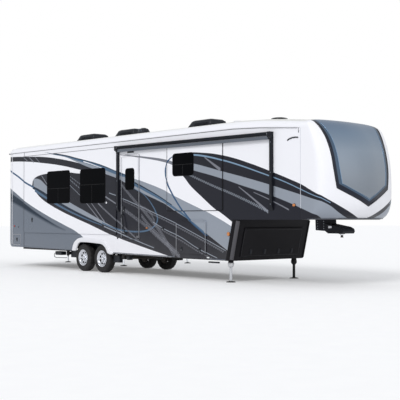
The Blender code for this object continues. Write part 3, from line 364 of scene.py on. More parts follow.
@dataclass(frozen=True)
class Livery:
    """The paint scheme of the body's two sides, caps and doors, in order of painting."""

    body: tuple[Band | Stripe, ...] = (
        # The lower rear quarter with its shaded upper edge.
        Band(Paint.GREY, Sweep(((-8.1, 2.92), (-6.84, 2.48), (-5.97, 2.1), (-4.44, 1.58), (-3.57, 1.33),
            (-2.9, 1.13), (-2.54, 0.94), (-2.4, 0.8))), Sweep(((-8.1, 0.2), (-2.4, 0.2)))),
        Band(Paint.NAVY, Sweep(((-8.1, 2.72), (-6.84, 2.34), (-5.97, 2.02), (-5.21, 1.72), (-4.44, 1.455),
            (-3.95, 1.3), (-3.5, 1.185))), Sweep(((-8.1, 2.42), (-6.84, 2.08), (-5.97, 1.83), (-5.21, 1.6),
            (-4.44, 1.38), (-3.95, 1.26), (-3.5, 1.18))), 0.035, 0.09),
        # The dark band under the gutter at the rear.
        Band(Paint.CHARCOAL, Sweep(((-8.1, 3.53), (-6.85, 3.52), (-5.65, 3.47), (-4.81, 3.42),
            (-4.01, 3.33), (-3.33, 3.23), (-2.67, 3.11), (-2.2, 3.0), (-1.71, 2.9))),
            Sweep(((-8.1, 3.38), (-6.85, 3.37), (-5.65, 3.31), (-4.81, 3.23), (-4.01, 3.14), (-3.33, 3.04),
            (-2.75, 2.94), (-2.2, 2.86), (-1.71, 2.8)))),
        # The main charcoal swoosh from behind the rear window to the skirt.
        Band(Paint.CHARCOAL, Sweep(((-5.45, 2.56), (-5.43, 2.66), (-5.35, 2.75), (-5.22, 2.81),
            (-4.9, 2.87), (-4.45, 2.895), (-3.28, 2.88), (-2.71, 2.83), (-2.0, 2.9), (-1.41, 2.76),
            (-0.93, 2.64), (-0.47, 2.48), (-0.1, 2.33), (0.42, 2.14), (0.88, 2.0), (1.3, 1.86),
            (1.68, 1.69), (2.11, 1.51), (2.49, 1.32), (2.89, 1.12), (3.28, 0.92), (3.66, 0.72),
            (3.85, 0.6))), Sweep(((-5.45, 2.54), (-5.31, 2.42), (-5.12, 2.27), (-4.8, 2.1), (-4.44, 1.96),
            (-3.74, 1.74), (-2.91, 1.52), (-2.19, 1.34), (-1.44, 1.14), (-0.93, 1.01), (0.09, 0.8),
            (0.88, 0.65), (1.48, 0.54), (2.4, 0.38), (3.85, 0.2)))),
        # Inside its rounded end: a silver-blue band that runs on below the windows.
        Band(Paint.SILVER, Sweep(((-5.37, 2.74), (-5.24, 2.765), (-4.53, 2.5), (-3.28, 2.0), (-2.51, 1.75),
            (-1.7, 1.49), (-1.2, 1.335), (-0.5, 1.13))), Sweep(((-5.37, 2.52), (-5.24, 2.49),
            (-4.53, 2.26), (-3.32, 1.84), (-2.5, 1.61), (-1.7, 1.4), (-1.2, 1.275), (-0.5, 1.115)))),
        Stripe(Paint.NAVY, Sweep(((-5.42, 2.5), (-4.53, 2.22), (-3.6, 1.905), (-2.5, 1.59), (-1.6, 1.36))),
            (0.045, 0.012)),
        Stripe(Paint.STEEL_BLUE, Sweep(((-5.28, 2.4), (-4.53, 2.13), (-3.6, 1.825), (-2.5, 1.53),
            (-1.6, 1.33))), (0.045, 0.01)),
        Stripe(Paint.SILVER, Sweep(((-1.5, 1.3), (-0.82, 1.13), (0.09, 0.905), (0.75, 0.755))),
            (0.016, 0.01)),
        # The blue band from the gutter to the lower front corner.
        Band(Paint.SILVER, Sweep(((-4.75, 3.565), (-4.19, 3.48), (-3.54, 3.41), (-2.91, 3.29),
            (-1.94, 3.1), (-1.45, 2.98), (-0.93, 2.83), (-0.09, 2.59), (0.42, 2.46), (1.07, 2.28),
            (1.62, 2.09), (2.11, 1.925), (2.66, 1.745), (3.22, 1.54), (3.8, 1.3))),
            Sweep(((-4.75, 3.56), (-4.19, 3.455), (-3.5, 3.34), (-2.91, 3.17), (-2.35, 3.01),
            (-1.98, 2.92), (-1.41, 2.76), (-0.93, 2.64), (-0.47, 2.48), (-0.1, 2.33), (0.42, 2.14),
            (0.88, 2.0), (1.3, 1.86), (1.68, 1.69), (2.11, 1.51), (2.49, 1.32), (2.89, 1.12), (3.28, 0.92),
            (3.8, 0.66)))),
        Band(Paint.STEEL_BLUE, Sweep(((-4.6, 3.55), (-4.19, 3.48), (-3.54, 3.41), (-2.91, 3.29),
            (-1.94, 3.1), (-1.45, 2.98), (-0.93, 2.83), (-0.5, 2.72), (-0.2, 2.62))),
            Sweep(((-4.6, 3.545), (-4.19, 3.46), (-3.54, 3.36), (-2.91, 3.215), (-1.94, 3.0),
            (-1.45, 2.87), (-0.93, 2.73), (-0.5, 2.64), (-0.2, 2.6))), 0.006, 0.02),
        Stripe(Paint.NAVY, Sweep(((-4.19, 3.485), (-3.54, 3.395), (-2.91, 3.275), (-1.94, 3.085),
            (-1.45, 2.965), (-0.93, 2.815), (-0.3, 2.635))), (0.016, 0.01)),
        Stripe(Paint.WHITE, Sweep(((-2.55, 3.165), (-2.29, 3.11), (-1.75, 2.975), (-1.62, 2.945))),
            (0.014, 0.006)),
        Stripe(Paint.STEEL_BLUE, Sweep(((-0.3, 2.5), (-0.07, 2.44), (0.42, 2.26), (0.88, 2.09),
            (1.3, 1.92), (1.8, 1.69), (2.3, 1.43), (2.75, 1.19))), (0.055, 0.02)),
        Stripe(Paint.NAVY, Sweep(((-0.07, 2.48), (0.42, 2.3), (0.88, 2.125), (1.3, 1.95), (1.52, 1.86))),
            (0.02, 0.012)),
        # The charcoal swoosh of the bedroom, out over the nose.
        Band(Paint.CHARCOAL, Sweep(((1.56, 3.09), (1.8, 3.135), (2.34, 3.155), (2.66, 3.13), (3.11, 3.08),
            (3.66, 2.975), (4.32, 2.8), (4.99, 2.59), (5.63, 2.375), (5.95, 2.26), (6.2, 2.14),
            (6.48, 2.01), (6.97, 1.82), (7.42, 1.64), (7.66, 1.53), (7.95, 1.4))),
            Sweep(((1.56, 2.8), (1.93, 2.6), (2.25, 2.33), (2.72, 2.02), (3.11, 1.775), (3.47, 1.59),
            (3.76, 1.43), (3.95, 1.33), (7.95, 1.33)))),
        Band(Paint.SILVER, Sweep(((1.6, 3.01), (2.4, 2.87), (2.89, 2.765), (3.44, 2.635), (4.05, 2.5),
            (4.7, 2.35), (5.53, 2.14), (5.95, 2.03), (6.17, 1.97), (6.43, 1.9), (6.75, 1.79), (7.0, 1.66),
            (7.22, 1.56), (7.55, 1.45))), Sweep(((1.6, 2.88), (2.4, 2.7), (2.95, 2.58), (3.52, 2.44),
            (4.05, 2.295), (4.7, 2.13), (5.53, 1.885), (5.95, 1.74), (6.17, 1.66), (6.38, 1.58),
            (6.6, 1.49), (7.6, 1.4)))),
        Stripe(Paint.PALE_BLUE, Sweep(((1.95, 3.1), (2.37, 3.09), (2.83, 3.03), (3.39, 2.915),
            (3.92, 2.785), (4.7, 2.56), (5.44, 2.335), (5.95, 2.145), (6.2, 2.05), (6.42, 1.975),
            (6.76, 1.85))), (0.022, 0.008)),
        # Thin lines.
        Stripe(Paint.LINE_BLUE, Sweep(((-8.1, 3.5), (-6.84, 3.05), (-6.37, 2.87), (-5.98, 2.7),
            (-5.36, 2.5))), (0.03, 0.03)),
        Stripe(Paint.ASH, Sweep(((-0.78, 3.265), (0.22, 3.15), (1.29, 2.985), (1.6, 2.9))), (0.006, 0.045)),
        Stripe(Paint.LINE_BLUE, Sweep(((1.56, 3.1), (1.37, 3.0), (1.26, 2.87), (1.23, 2.7), (1.3, 2.47),
            (1.5, 2.18), (1.71, 1.94), (1.93, 1.72), (2.14, 1.54), (2.34, 1.39), (2.6, 1.24), (2.85, 1.1)),
            Along.HEIGHT), (0.034, 0.034)),
        Stripe(Paint.STEEL_BLUE, Sweep(((-0.16, 2.33), (0.22, 2.2), (0.49, 2.03), (0.69, 1.85),
            (0.82, 1.69), (0.895, 1.53), (0.85, 1.39), (0.7, 1.29)), Along.HEIGHT), (0.024, 0.02)),
        Stripe(Paint.STEEL_BLUE, Sweep(((-1.6, 1.4), (-1.07, 1.27), (-0.67, 1.2), (-0.29, 1.175),
            (0.09, 1.17), (0.43, 1.2), (0.66, 1.27), (0.8, 1.35))), (0.018, 0.022)),
        # Tapered streaks.
        Stripe(Paint.ASH, Sweep(((2.78, 3.01), (3.06, 2.85), (3.36, 2.68))), (0.014, 0.045)),
        Stripe(Paint.ASH, Sweep(((3.97, 2.26), (4.31, 2.06), (4.7, 1.82), (4.94, 1.665))), (0.01, 0.036)),
        Stripe(Paint.ASH, Sweep(((4.47, 2.12), (4.99, 1.94), (5.58, 1.71))), (0.008, 0.016)),
        Stripe(Paint.ASH, Sweep(((-2.4, 1.97), (-1.74, 1.5))), (0.014, 0.02)),
        Stripe(Paint.ASH, Sweep(((-2.15, 1.97), (-1.44, 1.4))), (0.014, 0.02)),
        Stripe(Paint.ASH, Sweep(((-1.8, 1.95), (-1.11, 1.57), (-0.46, 1.235), (0.09, 0.94))),
            (0.022, 0.02)),
        Stripe(Paint.CHARCOAL, Sweep(((-1.6, 1.84), (-1.11, 1.57), (-0.46, 1.235), (0.09, 0.94))),
            (0.006, 0.006)),
        Stripe(Paint.SILVER, Sweep(((-1.26, 2.23), (-0.93, 2.155))), (0.012, 0.01)),
        Stripe(Paint.ASH, Sweep(((-1.44, 2.13), (-0.93, 1.93))), (0.022, 0.018)),
        # Streaks beside and under the windows.
        Stripe(Paint.SILVER, Sweep(((-3.3, 2.78), (-2.66, 2.49))), (0.012, 0.01), 0.05),
        Stripe(Paint.SILVER, Sweep(((-3.3, 2.68), (-2.66, 2.36))), (0.018, 0.012), 0.05),
        Stripe(Paint.SILVER, Sweep(((-3.3, 2.52), (-2.66, 2.16))), (0.008, 0.006)),
        Stripe(Paint.ASH, Sweep(((-4.9, 2.86), (-4.55, 2.56))), (0.02, 0.02)),
        Stripe(Paint.ASH, Sweep(((-6.05, 3.5), (-5.75, 3.34))), (0.01, 0.016)),
        Stripe(Paint.ASH, Sweep(((-5.7, 3.48), (-5.35, 3.28))), (0.012, 0.02)),
        Stripe(Paint.ASH, Sweep(((-5.3, 3.45), (-5.0, 3.26))), (0.01, 0.014)),
        # Hatched streaks.
        Stripe(Paint.SILVER, Sweep(((2.1, 2.64), (2.6, 2.47), (3.11, 2.3), (3.92, 2.04), (4.7, 1.765),
            (4.94, 1.67))), (0.024, 0.034), 0.055),
        Stripe(Paint.ASH, Sweep(((-0.72, 2.48), (-0.29, 2.15), (0.09, 1.88), (0.56, 1.53), (1.04, 1.15),
            (1.48, 0.69), (1.62, 0.52))), (0.045, 0.07), 0.05, -1.0),
        Stripe(Paint.ASH, Sweep(((-0.7, 1.82), (-0.12, 1.57), (0.43, 1.31), (0.88, 1.06), (1.3, 0.84),
            (1.82, 0.56))), (0.05, 0.05), 0.045),
        Stripe(Paint.ASH, Sweep(((0.2, 1.6), (0.55, 1.33), (1.04, 1.02), (1.45, 0.78), (1.79, 0.58))),
            (0.05, 0.085), 0.06, -1.0),
        Stripe(Paint.SILVER, Sweep(((-0.62, 2.06), (-0.12, 1.925), (0.79, 1.655), (1.84, 1.34),
            (2.25, 1.2), (2.83, 1.0), (3.52, 0.755))), (0.01, 0.009)),
        Stripe(Paint.ASH, Sweep(((-0.62, 2.01), (-0.12, 1.865), (0.79, 1.6), (1.84, 1.275), (2.25, 1.14),
            (2.83, 0.94), (3.45, 0.72))), (0.014, 0.024), 0.05),
        Stripe(Paint.SILVER, Sweep(((0.7, 1.43), (1.27, 1.22), (1.84, 1.06), (2.49, 0.8), (3.22, 0.57))),
            (0.01, 0.009)),
        Stripe(Paint.ASH, Sweep(((0.75, 1.36), (1.27, 1.16), (1.84, 0.98), (2.49, 0.73), (3.05, 0.54))),
            (0.02, 0.018), 0.05),
        Stripe(Paint.ASH, Sweep(((0.16, 1.86), (0.56, 1.69), (0.78, 1.43))), (0.012, 0.05), 0.04),
    )
    wrap_start: float = 0.055        # how far in from the wall's plane a cap's corner begins
    rear_end: float = -8.095         # the run at the middle of the rear, where both sides' schemes meet
    gloss_of_metal: float = 0.3

    def run(self, x: Socket, y: Socket) -> Socket:
        """The length along the body's surface: X on the sides, carried on round both caps."""
        inward = ((WALL_Y - self.wrap_start) - abs(y)).most(0.0)
        front = inward * x.above(CAP_SEAM_X)
        rear = inward * x.below(REAR_SEAM_X)
        return (x + front - rear).most(self.rear_end)

    @staticmethod
    def _value(graph: Graph, sweep: Sweep, along: Socket) -> tuple[Socket, Socket]:
        """The sweep's value at a run, and the mask of the stretch that it covers."""
        places = sweep.ordered()
        low_run, high_run = places[0][0], places[-1][0]
        values = [value for _, value in places]
        low_value = min(values) - 0.01
        span = max(values) + 0.01 - low_value
        share = (along - low_run) / (high_run - low_run)
        points = [((run - low_run) / (high_run - low_run), (value - low_value) / span)
            for run, value in places]
        curve = graph.add("ShaderNodeFloatCurve", {"points": points}, {"Value": share})
        return curve * span + low_value, share.between(0.0, 1.0, 0.002)

    def _mask(self, graph: Graph, item: Band | Stripe, run: Socket, height: Socket) -> Socket:
        """Where a band or stripe shows."""
        if isinstance(item, Band):
            upper, covered = self._value(graph, item.upper, run)
            lower, _ = self._value(graph, item.lower, run)
            return covered * height.below(upper, item.blur_upper) * height.above(lower, item.blur_lower)
        lengthwise = item.centre.along is Along.LENGTH
        along, across = (run, height) if lengthwise else (height, run)
        centre, covered = self._value(graph, item.centre, along)
        places = item.centre.ordered()
        share = (along - places[0][0]) / (places[-1][0] - places[0][0])
        half = share * (item.half[1] - item.half[0]) + item.half[0]
        mask = covered * abs(across - centre).below(half, 0.006)
        if item.hatch:
            strokes = (run + height * item.lean).wave(item.hatch).above(0.58, 0.25)
            mask = mask * strokes
        return mask

    def apply(self, graph: Graph) -> tuple[Socket, Socket]:
        """Paints the scheme.

        Args:
            graph: the material to paint in.

        Returns:
            The colour, and the share of metallic paint.
        """
        x, y, z = graph.place()
        run = self.run(x, y)
        colour, metal = Paint.WHITE.value, None
        for item in self.body:
            mask = self._mask(graph, item, run, z)
            colour = graph.mix(mask, colour, item.paint.value)
            shine = 0.0 if item.paint is Paint.WHITE else 1.0
            metal = mask * shine if metal is None else metal * (1 - mask) + mask * shine
        return colour, metal * self.gloss_of_metal


class Finish:
    """A finish that builds its material once, on first use."""

    _made: dict[str, bpy.types.Material] = {}

    @property
    def key(self) -> str:
        """The material's name: the finish's label, or its class where it has none."""
        return getattr(self, "label", type(self).__name__)

    def material(self) -> bpy.types.Material:
        """The finish's material."""
        if self.key not in Finish._made:
            Finish._made[self.key] = self.build(Graph(self.key))
        return Finish._made[self.key]

    def build(self, graph: Graph) -> bpy.types.Material:
        """Builds the material; each finish has its own."""
        raise NotImplementedError


@dataclass(frozen=True)
class BodyPaint(Finish):
    """Gelcoat with the paint scheme outside; wallboard or plain gelcoat on what faces in."""

    label: str = "body_paint"
    inside_y: float = 1.24
    lined: bool = True
    roughness: float = 0.26

    def build(self, graph: Graph) -> bpy.types.Material:
        """Paint, a faint unevenness of the gelcoat and a little road film low down."""
        colour, metal = Livery().apply(graph)
        x, y, z = graph.place()
        ends = x.between(REAR_SEAM_X - 0.7, CAP_SEAM_X + 0.3)
        inside = abs(y).below(self.inside_y) * ends
        cloud = graph.noise(1.3, 3.0)
        film = z.below(0.95, 0.9) * cloud * 0.16
        lining = Paint.PANEL.value if self.lined else Paint.WHITE.value
        dusty = graph.mix(film, colour, srgb(150, 146, 142))
        shown = graph.mix(inside, dusty, lining)
        grain = graph.noise(26.0, 1.0)
        ripple = graph.noise(2.1, 1.0)
        return graph.surface(
            Base_Color=shown, Metallic=metal * (1 - inside),
            Roughness=cloud * 0.08 + (self.roughness - 0.04), IOR_Level=0.16,
            Coat_Weight=(1 - inside) * 0.06, Coat_Roughness=0.06,
            Normal=graph.bump(grain * 0.15 + ripple, 0.25, 0.004))


@dataclass(frozen=True)
class NosePaint(Finish):
    """The front cap: the paint scheme, and the banded metallic shield."""

    top_z: float = 3.66
    corner_z: float = 2.17
    # how far in from the shield's edge a band starts, at its sides and at its foot, and its colour
    bands: tuple[tuple[float, float, Paint], ...] = (
        (0.0, 0.0, Paint.SHADE), (0.078, 0.08, Paint.DEEP_BLUE), (0.14, 0.099, Paint.NAVY),
        (0.153, 0.105, Paint.SILVER_BLUE))
    field_in: Point2 = (0.166, 0.114)

    def build(self, graph: Graph) -> bpy.types.Material:
        """The scheme runs round both corners; the shield's bands follow its edge, and its field is shaded."""
        colour, metal = Livery().apply(graph)
        x, y, z = graph.place()
        side, foot = ShieldShape().depths(graph, y, z)
        ahead = x.above(CAP_SEAM_X + 0.12)
        inside = side.least(foot).above(0.0) * ahead
        cloud = graph.noise(0.9, 2.0)
        fall = (z - self.corner_z) / (self.top_z - self.corner_z)
        field_colour = graph.add("ShaderNodeValToRGB", {"stops": ((0.0, srgb(134, 141, 150)),
            (0.2, srgb(142, 150, 160)), (0.55, srgb(142, 154, 168)), (0.8, srgb(118, 136, 156)),
            (1.0, srgb(92, 112, 138)))}, {"Fac": fall * 0.92 + cloud * 0.08})
        for edge, foot_edge, paint in self.bands:
            within = (side - edge).least(foot - foot_edge)
            colour = graph.mix(within.above(0.0, 0.005) * ahead, colour, paint.value)
        within = (side - self.field_in[0]).least(foot - self.field_in[1])
        colour = graph.mix(within.above(0.0, 0.005) * ahead, colour, field_colour)
        return graph.surface(
            Base_Color=colour, Metallic=metal * (1 - inside) + inside * 0.45,
            Roughness=cloud * 0.06 + 0.27, IOR_Level=0.2, Coat_Weight=inside * 0.15 + 0.05,
            Coat_Roughness=0.05, Normal=graph.bump(graph.noise(2.0, 1.0), 0.2, 0.004))


@dataclass(frozen=True)
class ShieldShape:
    """The shield on the nose, seen from ahead: half its width at a height, and its pointed foot."""

    # height, half width
    sides: tuple[Point2, ...] = ((2.17, 0.875), (2.37, 0.915), (2.6, 0.945), (2.95, 0.965), (3.27, 0.995),
        (3.45, 1.03), (3.62, 1.075), (3.72, 1.1))
    tip_z: float = 1.775

    def half_width(self, z: float, inset: float = 0.0) -> float:
        """Half the shield's width at a height, drawn in by an inset."""
        low_z, low_half = self.sides[0]
        if z < low_z:
            return max(0.0, (z - self.tip_z) / (low_z - self.tip_z) * low_half)
        for (z0, h0), (z1, h1) in zip(self.sides, self.sides[1:]):
            if z <= z1:
                return h0 + (h1 - h0) * (z - z0) / (z1 - z0) - inset
        return self.sides[-1][1] - inset

    def depths(self, graph: Graph, y: Socket, z: Socket) -> tuple[Socket, Socket]:
        """How far inside the shield's sides and inside its foot a place on the nose lies."""
        low_z, low_half = self.sides[0]
        curve, _ = Livery._value(graph, Sweep(self.sides), z.most(low_z + 0.001))
        slope = (low_z - self.tip_z) / low_half
        foot = (z - self.tip_z - abs(y) * slope) * (0.75 / math.hypot(1.0, slope))
        return curve - abs(y), foot

    def outline(self, inset: float, top_z: float) -> list[Point2]:
        """The outline from the top of the curb side, round the foot, to the top of the street side.

        Args:
            inset: how far in from the shield's outer edge it runs.
            top_z: the height of both ends.

        Returns:
            Places as (Y, Z).
        """
        low_z, low_half = self.sides[0]
        slope = (low_z - self.tip_z) / low_half
        rise = inset * math.hypot(1.0, slope)
        corner_y = low_half - inset
        corner_z = self.tip_z + rise + slope * corner_y
        steps = 24
        left = []
        for k in range(steps + 1):
            z = top_z + (corner_z - top_z) * k / steps
            left.append((-self.half_width(max(z, low_z + 1e-6), inset), z))
        foot = [(corner_y * (k / 12 - 1), self.tip_z + rise + slope * corner_y * (1 - k / 12))
            for k in range(1, 12)]
        right = [(-y, z) for y, z in (left + foot)[::-1]]
        return left + foot + [(0.0, self.tip_z + rise)] + right


@dataclass(frozen=True)
class Plain(Finish):
    """A finish of one colour with a grain in its colour, gloss and surface.

    The fields are its look: colour, how much the colour changes, roughness, metal, grain per metre and
    grain height.
    """

    label: str
    colour: Colour
    vary: float = 0.12
    roughness: float = 0.5
    metallic: float = 0.0
    grain: float | Point3 = 60.0
    height: float = 0.0004
    coat: float = 0.0
    level: float = 0.5
    dust: float = 0.0
    dust_colour: Colour = srgb(128, 122, 116)
    # distance from the middle plane within which its colour is painted near black as painted shade, as on a
    # wheel's back that lies in shadow
    dark_inside: float = 0.0

    def build(self, graph: Graph) -> bpy.types.Material:
        """Cloudy colour, uneven gloss, fine grain, and dust that gathers low down."""
        _, y, z = graph.place()
        cloud = graph.noise(3.0, 4.0, 0.6)
        grain = graph.noise(self.grain, 2.0)
        lighter = tuple(min(1.0, c * (1 + 2 * self.vary) + 0.01 * self.vary) for c in self.colour)
        darker = tuple(c * (1 - self.vary) for c in self.colour)
        colour = graph.mix(cloud * 0.6 + grain * 0.4, darker, lighter)
        if self.dust:
            low = z.below(0.55, 0.9) * graph.noise(7.0, 3.0) * self.dust
            colour = graph.mix(low, colour, self.dust_colour)
        metallic, roughness = self.metallic, self.roughness + (cloud - 0.5) * 0.16
        # Painted shade: near the middle plane the colour turns near black, rough and not metallic, for the
        # shadowed backs of the wheels.
        if self.dark_inside:
            back = abs(y).below(self.dark_inside)
            colour = graph.mix(back, colour, srgb(26, 25, 25))
            metallic = (1 - back) * self.metallic
            roughness = roughness + back * 0.5
        return graph.surface(
            Base_Color=colour, Roughness=roughness, Metallic=metallic,
            IOR_Level=self.level, Coat_Weight=self.coat, Coat_Roughness=0.08,
            Normal=graph.bump(grain, 0.5, self.height))


@dataclass(frozen=True)
class Boards(Finish):
    """Laminated floor boards, with their joints and grain along the trailer."""

    width: float = 0.18

    def build(self, graph: Graph) -> bpy.types.Material:
        """Wood tone by board, grain along X and dark joints."""
        _, y, z = graph.place()
        grain = graph.noise((1.6, 30.0, 4.0), 4.0)
        board = graph.noise((0.7, 1 / self.width, 0.4), 0.0)
        joint = (y + 10.0).wave(self.width).below(0.03, 0.02)
        wood = graph.mix(grain * 0.6 + board * 0.4, srgb(112, 92, 74), srgb(168, 148, 124))
        belly = z.between(1.3, 1.568, 0.001)
        top = graph.mix(joint, wood, srgb(54, 44, 36))
        return graph.surface(
            Base_Color=graph.mix(belly, top, srgb(84, 84, 90)), Roughness=grain * 0.2 + 0.42,
            Normal=graph.bump(grain * 0.4 - joint, 0.6, 0.001))


@dataclass(frozen=True)
class Membrane(Finish):
    """The white roof membrane, painted like the body along its rolled edge, with laps across it."""

    def build(self, graph: Graph) -> bpy.types.Material:
        """Slight chalking and a pebbled surface on top, gelcoat at the sides."""
        x, y, z = graph.place()
        top = abs(y).below(1.13, 0.02) * z.above(3.55, 0.02)
        chalk = graph.noise(2.2, 4.0)
        pebble = graph.noise(150.0, 2.0)
        lap = (x + 10.0).wave(3.2).below(0.006, 0.004) * top
        streaks = graph.noise((5.0, 0.6, 0.6), 3.0)
        worn = graph.mix(chalk * streaks, srgb(226, 226, 224), srgb(206, 205, 200))
        shown = graph.mix(top, Paint.WHITE.value, graph.mix(lap, worn, srgb(160, 160, 158)))
        return graph.surface(
            Base_Color=shown, Roughness=top * 0.32 + 0.26 + chalk * 0.06, IOR_Level=0.4,
            Normal=graph.bump(pebble * top + lap * 0.8, 0.4, 0.0012))


@dataclass(frozen=True)
class TintedGlass(Finish):
    """Almost black frameless glazing with faint smears."""

    def build(self, graph: Graph) -> bpy.types.Material:
        """Deep tint with a slight change of gloss."""
        smear = graph.noise((1.2, 1.2, 3.0), 3.0)
        return graph.surface(
            Base_Color=graph.mix(smear, (0.0012, 0.0013, 0.0018), (0.003, 0.0033, 0.0044)),
            Roughness=smear * 0.07 + 0.03, IOR_Level=0.02,
            Normal=graph.bump(graph.noise(1.4, 1.0), 0.15, 0.002))


@dataclass(frozen=True)
class Tyre(Finish):
    """Black rubber, browned a little, with dust on its tread."""

    def build(self, graph: Graph) -> bpy.types.Material:
        """Rubber that is duller towards the tread."""
        grain = graph.noise(90.0, 3.0)
        cloud = graph.noise(6.0, 3.0)
        base = graph.mix(cloud, srgb(24, 24, 26), srgb(40, 39, 40))
        return graph.surface(
            Base_Color=graph.mix(grain * 0.16, base, srgb(78, 75, 72)), Roughness=grain * 0.14 + 0.66,
            IOR_Level=0.35, Normal=graph.bump(grain, 0.45, 0.0008))


@dataclass(frozen=True)
class Lens(Finish):
    """A moulded lamp lens over reflector prisms."""

    label: str = "red_lens"
    colour: Colour = srgb(176, 22, 20)
    glow: float = 0.0

    def build(self, graph: Graph) -> bpy.types.Material:
        """Prisms in a diamond grid, with a painted highlight on their faces."""
        x, y, z = graph.place()
        across = x + y
        prism = (across + z).wave(0.012) * (across - z + 10.0).wave(0.012)
        # Painted highlight: each prism face gets a lighter colour, as where the prisms catch the light.
        bright = tuple(min(1.0, c * 1.8 + 0.03) for c in self.colour)
        colour = graph.mix(prism, self.colour, bright)
        return graph.surface(
            Base_Color=colour, Roughness=prism * 0.08 + 0.1, IOR_Level=0.5, Coat_Weight=0.6,
            Coat_Roughness=0.03, Emission_Color=colour, Emission_Strength=self.glow,
            Normal=graph.bump(prism, 0.35, 0.002))


BODY = BodyPaint()
ROOM_BODY = BodyPaint(label="room_paint", inside_y=1.2625, lined=False)
NOSE = NosePaint()
MEMBRANE = Membrane()
GLASS = TintedGlass()
TYRE = Tyre()
BOARDS = Boards()
RED_LENS = Lens()
AMBER_LENS = Lens("amber_lens", srgb(176, 104, 38), 0.05)
CLEAR_LENS = Lens("clear_lens", srgb(206, 212, 216), 0.1)
CHARCOAL_WALL = Plain("charcoal_wall", srgb(19, 18, 22), 0.1, 0.44, 0.0, 120.0, 0.0006, coat=0.04,
    level=0.1, dust=0.04)
CHASSIS = Plain("chassis_black", srgb(24, 24, 27), 0.2, 0.52, 0.1, 60.0, 0.0008, level=0.25, dust=0.2)
BLACK = Plain("moulded_black", srgb(20, 24, 31), 0.12, 0.42, 0.0, 320.0, 0.0006, level=0.3)
POWDER = Plain("black_powder_coat", srgb(22, 24, 31), 0.1, 0.42, 0.1, 420.0, 0.0004, level=0.2)
FABRIC = Plain("awning_fabric", srgb(17, 20, 27), 0.14, 0.7, 0.0, (18.0, 420.0, 420.0), 0.0006, level=0.2)
RUBBER = Plain("black_seal", srgb(20, 20, 22), 0.12, 0.72, 0.0, 200.0, 0.0004, level=0.3)
ALUMINIUM = Plain("mill_aluminium", srgb(176, 178, 184), 0.08, 0.34, 0.9, (12.0, 240.0, 240.0), 0.0002)
# The rims' inner half, within 1.145 m of the middle plane, is painted near black as painted shade.
POLISHED = Plain("polished_aluminium", srgb(214, 216, 222), 0.05, 0.14, 1.0, 160.0, 0.0001,
    dark_inside=1.145)
POST = Plain("dark_anodised", srgb(86, 85, 89), 0.1, 0.3, 0.7, (200.0, 200.0, 12.0), 0.0002, level=0.4)
GREY_RAIL = Plain("grey_rail", srgb(98, 104, 114), 0.08, 0.36, 0.4, (10.0, 200.0, 200.0), 0.0002)
CHROME = Plain("hard_chrome", srgb(222, 224, 228), 0.04, 0.08, 1.0, 80.0, 0.00005)
GALVANISED = Plain("galvanised", srgb(138, 142, 146), 0.25, 0.46, 0.8, 24.0, 0.0002, dust=0.3)
WHITE_MOULD = Plain("white_moulding", srgb(228, 228, 233), 0.03, 0.3, 0.0, 90.0, 0.0002)
DARK_TRIM = Plain("dark_gloss_trim", srgb(22, 24, 30), 0.1, 0.22, 0.2, 60.0, 0.0002, coat=0.2, level=0.4)
BLUE_TRIM = Plain("blue_trim", srgb(96, 128, 160), 0.08, 0.24, 0.6, 60.0, 0.0002, coat=0.2)
BRAKE = Plain("brake_iron", srgb(62, 56, 52), 0.3, 0.62, 0.6, 40.0, 0.0008, dust=0.4)
DARK_SEAM = Plain("dark_sealant", srgb(58, 60, 68), 0.06, 0.5, 0.0, 120.0, 0.0002, level=0.3)
SEAM = Plain("seam_sealant", srgb(128, 130, 138), 0.06, 0.5, 0.0, 120.0, 0.0002)
PALE_SEAM = Plain("pale_sealant", srgb(206, 208, 216), 0.04, 0.5, 0.0, 120.0, 0.0002)
PLATE = Plain("blank_plate", srgb(210, 211, 214), 0.04, 0.3, 0.3, 140.0, 0.0002)


